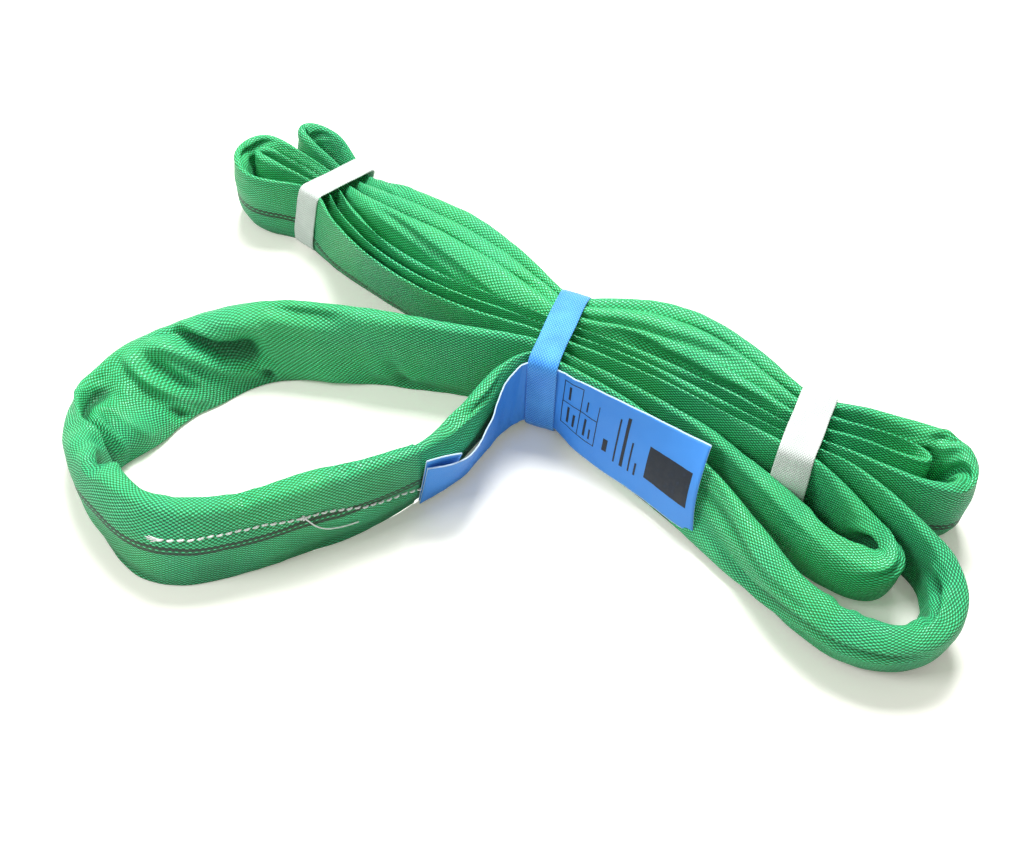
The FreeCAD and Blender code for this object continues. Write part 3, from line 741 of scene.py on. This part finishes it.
# Puffs: place and percent of the middle, reach along in stations, reach round in percent,
# and height.
PUFFS = [
    # open eye
    (8.6, 40, 0.6, 12, 1.4), (10.9, 42, 0.8, 16, 1.8), (12.6, 40, 0.6, 20, 2.4),
    (13.9, 62, 0.7, 14, 2.0), (15.2, 22, 0.9, 14, 3.5), (15.4, 10, 0.7, 14, 4.5),
    (17.1, 12, 0.5, 14, 4.0), (17.2, 36, 0.9, 14, 4.5), (19.2, 38, 1.1, 12, 3.5),
    (19.9, 13, 0.8, 14, 5.0), (21.2, 36, 1.3, 14, 2.0),
    # inner bight
    (31.0, 66, 1.2, 18, 3.0), (34.2, 40, 1.0, 14, 2.5), (36.2, 62, 0.8, 12, 3.0),
    # folded lays and the folds that join them
    (55.4, 34, 0.7, 16, 4.0), (57.3, 34, 0.7, 16, 4.0), (64.2, 42, 2.2, 12, 3.0),
    (64.6, 30, 2.4, 20, 7.5), (69.5, 33, 1.8, 16, 1.5), (77.6, 72, 1.4, 20, 4.5),
    (84.6, 68, 1.2, 14, 3.0), (85.7, 62, 2.0, 18, 6.0), (90.6, 58, 2.4, 16, 4.5),
    (98.4, 30, 1.0, 20, 4.0), (105.2, 34, 2.4, 18, 4.5), (111.3, 34, 2.0, 20, 5.5),
    (119.2, 30, 1.4, 20, 4.5), (121.4, 28, 1.2, 18, 4.0), (142.2, 32, 0.8, 18, 3.5),
    (144.2, 32, 0.8, 18, 3.5),
    # outer bight
    (171.3, 80, 1.2, 12, 2.5), (172.6, 88, 1.5, 9, 8.0),
]
# Waves of the thin top edges: place, reach along in stations, and shift to the right.
WAVES = [
    (47.6, 0.7, -1.6), (128.2, 0.5, 1.8), (129.4, 0.7, -2.4), (135.6, 0.6, -2.2),
    (137.0, 0.6, 2.0), (150.3, 0.6, 2.2), (151.9, 0.6, -2.2), (157.2, 0.7, 2.4),
]
WAVE_SPREAD = 0.12       # share of the way round that a wave reaches
WAVE_GAIN = 1.8
HUMP_LIMIT = 6.0         # squared distance past which a puff or a wave counts as nothing
PRESS_LIMIT = 0.45       # creases go this share of the way to the strand's far side
CROWN_PAINTED_HIGHLIGHT = 2.0         # painted highlight: the top of a strand is painted brighter, as if it stood out this far
FOOT_PAINTED_SHADE = 3.0          # and painted shade at its foot, darker towards the bottom


def wave(along, around, seed):
    """Smooth noise, -1 to 1."""
    return noise.noise(Vector((along, around, seed)))


def puff_height(section, share):
    """How far the loose puffs and waves of cloth near a point stand out."""
    total = 0.0
    for place, reach, shift in WAVES:
        a, b = (section.place - place) / reach, (share - 0.5) / WAVE_SPREAD
        if a * a + b * b < HUMP_LIMIT:
            total -= shift * WAVE_GAIN * b * exp(-a * a - b * b)
    for place, middle, reach, spread, height in PUFFS:
        a, b = (section.place - place) / reach, (share - middle / 100) / (spread / 100)
        if a * a + b * b < HUMP_LIMIT:
            total += height * exp(-a * a - b * b)
    return total


def on_cloth(place, percent):
    """Cloth laid flat: length along it and round it."""
    return Vector((length_at(place), percent / 100 * SLEEVE_ROUND))


def crease_depth(section, share):
    """How far the creases near a point press it in; their ends are shallower."""
    total = 0.0
    here = Vector((section.along, share * SLEEVE_ROUND))
    for points, width, depth in CREASES:
        if not points[0][0] - 1.5 < section.place < points[-1][0] + 1.5:
            continue
        nearest, where = inf, 0.0
        for k, (start, stop) in enumerate(zip(points, points[1:])):
            a, b = on_cloth(*start), on_cloth(*stop)
            f = min(max((here - a).dot(b - a) / (b - a).length_squared, 0), 1)
            distance = (here - a.lerp(b, f)).length
            if distance < nearest:
                nearest, where = distance, (k + f) / (len(points) - 1)
        fade = min(1.0, 4 * where + 0.25, 4 * (1 - where) + 0.25)
        gap = nearest / width
        rim = 0.35 * exp(-((gap - 1.9) ** 2) / 0.6)
        total += depth * fade * (exp(-gap * gap) - rim)
    return total


def relief(section, share):
    """Swells, folds and wrinkles of the cloth: how far a point stands out."""
    loose = min(section.half_width(0.7) / 7.0, 1.0)
    along = section.along
    swell = wave(along / 30, share * 6, 3.7) * 1.3 + wave(along / 90, share * 9, 5.2) * 0.9
    pleats = wave(along / 55, share * 15, 13.9) * (0.45 + 0.25 * loose)
    fine = wave(along / 9, share * 16, 8.1) * 0.3
    inner_side = 0.25 if section.bend < 0 else 0.75
    facing = max(0.0, cos(2 * pi * (share - inner_side)))
    buckle = smooth_step(abs(section.bend), 0.006, 0.03) * facing
    folds = wave(along / 9.5, share * 2.6, 11.3) * 3.0 * buckle
    puff = puff_height(section, share)
    return (swell + folds) * loose + pleats + fine + puff - crease_depth(section, share)


def outward_at(ring, k, section):
    """Direction out of the sleeve at a point of a ring."""
    out = (ring[(k + 1) % RING] - ring[k - 1]).cross(section.course).normalized()
    middle = (ring[0] + ring[RING // 2]) / 2
    return out if out.dot(ring[k] - middle) > 0 else -out


def skin(section, inset):
    """Ring of the sleeve's surface, cloth coordinates, and fold heights plus painted highlight and
    shade.
    """
    ring = section.ring(inset)
    moved, folds = [], []
    for k, spot in enumerate(ring):
        across = (spot - ring[-k % RING]).length
        push = max(relief(section, k / RING), -PRESS_LIMIT * across)
        spot = spot + outward_at(ring, k, section) * push
        spot.z = max(spot.z, section.lift + inset)
        moved.append(spot)
        # Painted highlight along the strand's top and painted shade towards its foot, added to the
        # fold value.
        level = 0.5 - 0.5 * cos(2 * pi * k / RING)
        tone = CROWN_PAINTED_HIGHLIGHT * smooth_step(level, 0.6, 1.0) - FOOT_PAINTED_SHADE * (1 - level)
        folds.append(push + tone)
    around = Tape(moved + moved[:1]).marks
    turned = along_table(ROLL, section.place)
    row = [(section.along, value / around[-1] * SLEEVE_ROUND - turned) for value in around]
    return moved, row, folds


def surface_spot(place, share, out):
    """Point of the outer sleeve's surface and the direction out of it there."""
    section = Section(place)
    ring = section.ring(0.0)
    k = int(share * RING)
    outward = outward_at(ring, k, section)
    spot = ring[k].lerp(ring[(k + 1) % RING], share * RING - k)
    return spot + outward * (relief(section, share) + out), outward


def loft(name, parts, smooth=True):
    """Closed mesh of one or more parts, each through rings of points."""
    verts, faces = [], []
    for rings in parts:
        base, size = len(verts), len(rings[0])
        verts += [in_model(point) for ring in rings for point in ring]
        last = len(verts) - size
        for at in range(base, last, size):
            for k in range(size):
                n = (k + 1) % size
                faces.append((at + k, at + size + k, at + size + n, at + n))
        faces += [tuple(range(base, base + size)), tuple(range(last, last + size))[::-1]]
    mesh = bpy.data.meshes.new(name)
    mesh.from_pydata(verts, [], faces)
    mesh.polygons.foreach_set("use_smooth", [smooth] * len(faces))
    mesh.update()
    return mesh


def cloth_mesh(name, rings, uvs, folds=()):
    """Closed mesh through rings, with their (along, across) coordinates and folds for painted
    shade.
    """
    mesh = loft(name, [rings])
    corners = []
    for row, after in zip(uvs, uvs[1:]):
        for k in range(len(rings[0])):
            corners += [row[k], after[k], after[k + 1], row[k + 1]]
    corners += uvs[0][:-1] + uvs[-1][-2::-1]
    layer = mesh.uv_layers.new(name="cloth")
    for loop, (along, across) in zip(layer.data, corners):
        loop.uv = (along * MM, across * MM)
    if folds:
        # The fold value only drives painted shade and painted highlight in the sleeve's colour.
        painted_light_values = mesh.attributes.new("fold", "FLOAT", "POINT")
        painted_light_values.data.foreach_set("value", [value for row in folds for value in row])
    return mesh


def bend(piece, body):
    """Bake a piece's placement into its mesh; the body is not used."""
    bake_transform(piece)


def add_piece(name, mesh, material, node, attach, body):
    """Piece with its material, in place of its solid, if any, handed with a body to attach."""
    mesh.materials.append(material)
    piece = add_object(name, mesh)
    if node:
        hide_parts(node)
    attach(piece, body)
    return piece


# ---- sleeve pieces
SLEEVE = sleeve_material()
MOUTH_DEPTHS = (0.25, 0.0)           # stations from the mouth to the wall's inner rings
MOUTH_WALL = SLEEVE_WALL - 0.05
SLEEVES = [
    ("inner_bight_sleeve", "sleeve_inner_bight", MID_TIE_STRAND, LAY_0_TIE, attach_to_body, "root"),
    ("folded_lays_sleeve", "sleeve_folded_lays", LAY_0_TIE, LAY_1_TIE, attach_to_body, "root"),
    ("outer_bight_sleeve", "sleeve_outer_bight", LAY_1_TIE, ROUND + MID_TIE_NECK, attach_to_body,
     "root"),
    ("eye_sleeve", "sleeve_eye", JOINT_START, MID_TIE_STRAND, bend, "eye"),
    ("tucked_sleeve", "sleeve_tucked_end", MID_TIE_NECK, JOINT_END, bend, "eye"),
]
held_points = []         # what the ties are drawn round
for name, node, start, stop, attach, body in SLEEVES:
    parts = []
    if name == "eye_sleeve":         # its mouth shows the wall
        inside = [skin(Section(start + depth), MOUTH_WALL) for depth in MOUTH_DEPTHS]
        parts = [(ring, row, [0.0] * RING) for ring, row, _ in inside]
    for place in places_between(start, stop, STEP):
        tucked = min(max(place - JOINT_START + 1, 0), 1) if name == "tucked_sleeve" else 0
        parts.append(skin(Section(place), TUCKED_INSET * tucked))
    mesh = cloth_mesh(name, *zip(*parts))
    add_piece(name, mesh, SLEEVE, node, attach, body)
    held_points += [point for ring, _, _ in parts for point in ring]


# ---- yarn core
CORE_RING = 30
CORE_STEP = 2.0
CORE_GAP = 0.6
CORE_SHRINK = 0.6        # how far the yarn is drawn in towards the strand's middle plane
YARNS = 9                # bundles that show round the core
YARN_TWIST = 70          # length in which a bundle takes its neighbour's place
GROOVE = 0.06


def core_rings(start, stop):
    """Rings of the bundled yarn inside the sleeve, with a groove between its yarns."""
    rings = []
    for place in places_between(start, stop, CORE_STEP):
        section = Section(place)
        doubled = min(max(place - JOINT_START + 1, 0), max(JOINT_END + 1 - place, 0), 1)
        ring = skin(section, SLEEVE_WALL + CORE_GAP + TUCKED_INSET * doubled)[0]
        core = []
        for k in range(0, RING, RING // CORE_RING):
            phase = YARNS * k / RING + section.along / YARN_TWIST
            groove = GROOVE * abs(sin(pi * phase))
            middle = (ring[k] + ring[-k % RING]) / 2
            core.append(ring[k].lerp(middle, CORE_SHRINK - groove))
        rings.append(core)
    return rings


YARN = thread_material("core_yarn", "D8D4C4", "F4F1E6")
CORES = [
    ("hank_core", "core_hank", MID_TIE_STRAND, ROUND + MID_TIE_NECK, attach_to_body, "root"),
    ("eye_core", "core_eye", MID_TIE_NECK, MID_TIE_STRAND, bend, "eye"),
]
for name, node, start, stop, attach, body in CORES:
    mesh = loft(name, [core_rings(start, stop)])
    add_piece(name, mesh, YARN, node, attach, body)


# ---- label
LABEL_SAMPLES = 9        # sections to each step between label stations
LABEL_CELLS = 28         # mesh cells across the label
PALE_BACK = 1000.0       # added to the cloth coordinate across, on the label's pale back


class Strip:
    """Flat strip of cloth through stations of its lower edge, upper edge and bulge."""

    def __init__(self, line, ripple):
        before = [2 * a - b for a, b in zip(line[0], line[1])]
        after = [2 * a - b for a, b in zip(line[-1], line[-2])]
        self.line = [before] + line + [after]
        self.last = len(line) - 1
        self.ripple = ripple
        self.tape = Tape([self.point(k / LABEL_SAMPLES, 0.5, 0)
                          for k in range(self.last * LABEL_SAMPLES + 1)])

    def edges(self, place):
        """Lower edge, upper edge and bulge at a place counted in stations."""
        index = min(max(floor(place), 0), self.last - 1)
        spot = smoothed(self.line[index:index + 4], place - index)
        return Vector(spot[:3]), Vector(spot[3:6]), spot[6]

    def run(self, place):
        """Length along the strip at a place."""
        return self.tape.length(place * LABEL_SAMPLES)

    def place(self, run):
        """Place at a length along the strip."""
        return sum(self.tape.find(run)) / LABEL_SAMPLES

    def point(self, place, share, out):
        """Point a share of the way up the strip, out of its face by a distance."""
        low, high, bulge = self.edges(place)
        before, after = (self.edges(min(max(place + step, 0), self.last)) for step in (-0.2, 0.2))
        along = after[0] + after[1] - before[0] - before[1]
        normal = along.cross(high - low).normalized()
        arch = bulge * sin(pi * share)
        ripple = self.ripple * (wave(place * 1.9, share * 2.2, 21.5) +
                                0.35 * wave(place * 6.5, share * 5.0, 17.5))
        return low.lerp(high, share) + normal * (arch + ripple + out)

    def slab(self, place, shares, back, front):
        """Ring round what lies between two distances out of the face, at shares of it."""
        return ([self.point(place, share, back) for share in shares[::-1]] +
                [self.point(place, share, front) for share in shares])


def strip_mesh(name, strip, start, stop):
    """Thin closed mesh of one length of a strip."""
    rings, uvs = [], []
    count = max(2, round((stop - start) * LABEL_SAMPLES))
    shares = [k / LABEL_CELLS for k in range(LABEL_CELLS + 1)]
    for i in range(count + 1):
        place = start + (stop - start) * i / count
        rings.append(strip.slab(place, shares, -LABEL_THICKNESS / 2, LABEL_THICKNESS / 2))
        run = strip.run(place)
        uvs.append([(run, PALE_BACK + share * LABEL_WIDTH) for share in shares[::-1]] +
                   [(run, share * LABEL_WIDTH) for share in shares] +
                   [(run, PALE_BACK + LABEL_WIDTH)])
    return cloth_mesh(name, rings, uvs)


LABEL = label_material()
LABEL_IN_TIE = [row_point(row, low) + (LABEL_BOTTOM,) + row_point(row, high) + (LABEL_TOP, 0)
                for row, (low, high) in zip(MIDDLE_TIE_ROWS, LABEL_ACROSS_TIE)]
LABEL_STRIP = Strip(LABEL_SEWN + LABEL_IN_TIE + LABEL_FREE, 0.5)
TAB_STRIP = Strip(LABEL_TAB, 0.15)
TIE_ENTRY = len(LABEL_SEWN) + 0.4        # places of the cuts hidden under the tie
TIE_EXIT = len(LABEL_SEWN) + 1.6
# Name, node, strip, from, to, what it rests on, and what holds it.
LABELS = [
    ("label_sewn_length", "label_sewn", LABEL_STRIP, 0, TIE_ENTRY, "tucked_sleeve",
     bend, "eye"),
    ("label_tied_length", "label_under_tie", LABEL_STRIP, TIE_ENTRY, TIE_EXIT,
     "inner_bight_sleeve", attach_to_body, "root"),
    ("label_flap_length", "label_free_end", LABEL_STRIP, TIE_EXIT, LABEL_STRIP.last,
     "outer_bight_sleeve", bend, "label_flap"),
    ("label_tab_leaf", "label_tab", TAB_STRIP, 0, TAB_STRIP.last, "tucked_sleeve",
     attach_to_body, "eye"),
]
for name, node, strip, start, stop, rests_on, attach, body in LABELS:
    mesh = strip_mesh(name, strip, start, stop)
    piece = add_piece(name, mesh, LABEL, node, attach, body)
    flat = (LABEL_WIDTH * MM, (strip.run(stop) - strip.run(start)) * MM)


# ---- ties
TIE_POINTS = 160
TIE_SOFTENING = 6        # rounds of smoothing at its corners
TIE_REACH = 100          # what lies farther across than this is not held
LAP_HEIGHT = 7           # the lap starts at about this height on the far side
TIE_LAP = 0.05           # share of the way round that the end is lapped over
LAP_GAP = 0.15
# Section of a band: share of its width from the middle, and of its thickness.
TIE_FACE = (-0.46, -0.2, 0.0, 0.2, 0.46)
TIE_SECTION = [(-0.5, 0.8), *((part, 1.0) for part in TIE_FACE), (0.5, 0.8),
               (0.5, 0.2), *((-part, 0.0) for part in TIE_FACE), (-0.5, 0.2)]
held_points += [LABEL_STRIP.point(len(LABEL_SEWN) + k / 8, share, LABEL_THICKNESS / 2)
                for k in range(-2, 19) for share in (0, 0.25, 0.5, 0.75, 1)]


def tight_outline(points):
    """Even, softened outline drawn tight round points in a plane, and how long it was."""
    line = [Vector(points[k]) for k in convex_hull_2d(points)]
    first = line.index(min(line, key=tuple))
    line = line[first:] + line[:first + 1]
    tape = Tape(line)
    girth = tape.marks[-1]
    outline = []
    for i in range(TIE_POINTS):
        k, share = tape.find(girth * i / TIE_POINTS)
        outline.append(line[k].lerp(line[k + 1], share))
    for _ in range(TIE_SOFTENING):
        outline = [(outline[k - 1] + outline[k] * 2 + outline[(k + 1) % TIE_POINTS]) / 4
                   for k in range(TIE_POINTS)]
    return outline, girth


def tie_mesh(name, row, turn, width, slant, nearest):
    """Band drawn tight round what lies at a row, no nearer than a limit; lapped far side."""
    turn = radians(turn)
    across = Vector((sin(turn), cos(turn), 0))
    along = Vector((cos(turn), -sin(turn), 0))
    centre = Vector((row[0], row[1], 0))
    held = []
    for point in held_points:
        offset = point - centre
        lean = slant * (point.z - STRAND_HEIGHT / 2)
        reach = offset.dot(across)
        if abs(offset.dot(along) - lean) < width / 2 and nearest < reach < TIE_REACH:
            held.append((reach, point.z))
    outline, girth = tight_outline(held)
    first = max(range(TIE_POINTS), key=lambda k: outline[k].x - abs(outline[k].y - LAP_HEIGHT))
    rings, uvs = [], []
    for i in range(int(TIE_POINTS * (1 + TIE_LAP)) + 1):
        k = (first + i) % TIE_POINTS
        heading = (outline[(k + 1) % TIE_POINTS] - outline[k - 1]).normalized()
        normal = Vector((heading.y, -heading.x))
        lapped = smooth_step(i, TIE_POINTS * 0.97, TIE_POINTS * 1.01)
        lift = TIE_GAP + lapped * (TIE_THICKNESS + LAP_GAP)
        run = girth * i / TIE_POINTS
        waist = 1 + 0.05 * wave(run / 22, 0.3, row[0])
        ring, uv = [], []
        for part, out in TIE_SECTION:
            cup = 0.3 * wave(run / 14, part * 3, row[0] + 2.0) * out
            flat = outline[k] + normal * (lift + TIE_THICKNESS * out + cup)
            height = max(flat.y, 0.0 if out > 0.5 else 0.3)
            lean = slant * (height - STRAND_HEIGHT / 2)
            spot = centre + across * flat.x + along * (part * width * waist + lean)
            spot.z = height
            ring.append(spot)
            uv.append((run, (part + 0.5) * width))
        rings.append(ring)
        uvs.append(uv + uv[:1])
    return cloth_mesh(name, rings, uvs)


WHITE_TIE = webbing_material("white_webbing", "B4C0BA", "E2E8E4", 0.0014)
BLUE_TIE = webbing_material("blue_webbing", "1678DC", "55B8FF", 0.0017)
# Name, node, material, slot; row, turn in degrees, width, slant, and the limit of its hold.
TIES = [
    ("left_tie_band", "tie_left", WHITE_TIE, "tie_white", LEFT_TIE_ROWS[1], 9, 16, 0.14, -9),
    ("middle_tie_band", "tie_middle", BLUE_TIE, "tie_blue", MIDDLE_TIE_ROWS[1], -10, 17, 0, -40),
    ("right_tie_band", "tie_right", WHITE_TIE, "tie_white", RIGHT_TIE_ROWS[1], -7, 20, -0.03, -9),
]
for name, node, material, slot, *shape in TIES:
    add_piece(name, tie_mesh(name, *shape), material, node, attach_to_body, "root")


# ---- seam stitches and thread
THREAD = thread_material("sewing_thread", "DCE6DE", "FFFFFF")
STATION_LENGTH = 27      # about one station of the route along the seam
STITCH_PITCH = 4.6
STITCH_LENGTH = 3.3
STITCH_DRIFT = 0.004     # how far stitches wander and slant, as a share round
KNOT_PLACE = 8.5
KNOT_LIFT = 0.8
TAIL_DIAMETER = 0.8
TUBE_SIDES = 6
# Frayed ends where the seam ends: how far each runs, in stations and in share.
FRAYS = [(0.20, -0.006), (0.26, 0.001), (0.22, 0.007), (0.15, 0.013)]
# Loose end of the sewing thread: places on the route, shares of the way round, and height
# over the sleeve.
TAIL = [(8.45, 0.715, 0.8), (8.37, 0.728, 1.2), (8.22, 0.750, 1.4), (8.00, 0.772, 1.6),
        (7.78, 0.785, 1.4), (7.55, 0.793, 1.2), (7.32, 0.795, 1.0)]


def tube_rings(line, radius):
    """Rings round a line of points, narrower at its ends."""
    rings = []
    for i, spot in enumerate(line):
        heading = (line[min(i + 1, len(line) - 1)] - line[max(i - 1, 0)]).normalized()
        one = heading.orthogonal().normalized()
        two = heading.cross(one)
        size = radius * (0.45 if i in (0, len(line) - 1) else 1.0)
        angles = [2 * pi * k / TUBE_SIDES for k in range(TUBE_SIDES)]
        rings.append([spot + (one * cos(angle) + two * sin(angle)) * size for angle in angles])
    return rings


def seam_share(place):
    """Share of the way round where the seam lies at a place."""
    for (p, q), (r, t) in zip(SEAM, SEAM[1:]):
        if place <= r:
            return (q + (t - q) * max(place - p, 0) / (r - p)) / 100
    return SEAM[-1][1] / 100


def stitch_spot(middle, k):
    """Spot k of 0 to 4 along the lock stitch whose middle is at a place."""
    place = middle + (k / 4 - 0.5) * STITCH_LENGTH / STATION_LENGTH
    drift = STITCH_DRIFT * wave(middle * 7, 0, 4.4) + STITCH_DRIFT * (k / 4 - 0.5)
    return surface_spot(place, seam_share(place) + drift, 0.55 * sin(pi * k / 4) + 0.15)[0]


def fray_spot(run, drift, k):
    """Spot k of 0 to 3 along a frayed thread end."""
    place, percent = SEAM[-1]
    return surface_spot(place + run * k / 3, percent / 100 + drift * k / 3, 0.3)[0]


def knot_spot(turn, k):
    """Spot k of 0 to 12 round one turn of the knot where two lengths of thread meet."""
    share = seam_share(KNOT_PLACE)
    centre, out = surface_spot(KNOT_PLACE, share, KNOT_LIFT)
    one = (surface_spot(KNOT_PLACE + 0.1, share, KNOT_LIFT)[0] - centre).normalized()
    two = out.cross(one)
    angle = 2 * pi * k / 12
    return (centre + one * (turn - 1) * 1.0 + one * 0.5 * cos(angle) +
            two * (1.5 - 0.25 * turn) * sin(angle) + out * 0.8 * cos(angle + turn))


def add_thread_tail():
    """The loose end of thread as a smooth curve."""
    data = bpy.data.curves.new("thread_tail", "CURVE")
    data.dimensions = "3D"
    data.bevel_depth = TAIL_DIAMETER * MM / 2
    data.bevel_resolution = 3
    data.use_fill_caps = True
    spline = data.splines.new("NURBS")
    spline.points.add(len(TAIL) - 1)
    spots = [in_model(surface_spot(*spot)[0]) for spot in TAIL]
    for point, spot in zip(spline.points, spots):
        point.co = (*spot, 1.0)
    spline.order_u = 3
    spline.use_endpoint_u = True
    tail = add_piece("thread_tail", data, THREAD, None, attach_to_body, "eye")


stitches = [[stitch_spot(place, k) for k in range(5)]
            for place in places_between(SEAM[0][0], SEAM[-1][0], STITCH_PITCH)]
frays = [[fray_spot(*fray, k) for k in range(4)] for fray in FRAYS]
knot = [[knot_spot(turn, k) for k in range(13)] for turn in range(3)]
for name, lines, radius in (("seam_stitches", stitches, 0.7), ("seam_frays", frays, 0.35),
                            ("thread_knot", knot, 0.5)):
    mesh = loft(name, [tube_rings(line, radius) for line in lines])
    mesh.flip_normals()              # tube rings turn the other way round than the sleeve's
    add_piece(name, mesh, THREAD, None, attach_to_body, "eye")
add_thread_tail()


# ---- label print
PRINT_LIFT = 0.12
PRINT_THICKNESS = 0.1
PRINT_CELL = 1.2
# Plain printed blocks: length along the label and height up it, from and to.
PRINTED = [
    # square
    (168, 197, 14, 34),
    # rules of the table
    (108.5, 109.0, 12, 46), (121.0, 121.5, 12, 46), (133.0, 133.5, 12, 40),
    (108.5, 133.5, 29.5, 30.0), (108.5, 121.5, 45.5, 46.0), (108.5, 133.5, 12, 12.5),
    # lines of print
    (112.5, 114.0, 15, 27), (117.0, 118.5, 15, 24), (112.5, 114.0, 33, 43),
    (125.0, 126.5, 15, 27), (129.0, 130.0, 15, 22), (125.0, 126.0, 32, 39),
    (139.0, 142.0, 14, 22), (147.0, 148.0, 11, 40), (151.5, 153.5, 11, 43),
    (157.0, 158.0, 11, 30), (161.0, 162.2, 11, 19),
]


def print_rings(start, stop, low, high):
    """Rings of one thin printed slab that follows the label's face."""
    rows = max(1, round((stop - start) / PRINT_CELL))
    columns = max(1, round((high - low) / PRINT_CELL))
    shares = [(low + (high - low) * k / columns) / LABEL_WIDTH for k in range(columns + 1)]
    front = LABEL_THICKNESS / 2 + PRINT_LIFT
    return [LABEL_STRIP.slab(LABEL_STRIP.place(start + (stop - start) * i / rows), shares,
                             front - PRINT_THICKNESS, front) for i in range(rows + 1)]


printing = loft("label_printing", [print_rings(*patch) for patch in PRINTED], smooth=False)
add_piece("label_printing", printing, ink_material(), None, bend, "label_flap")
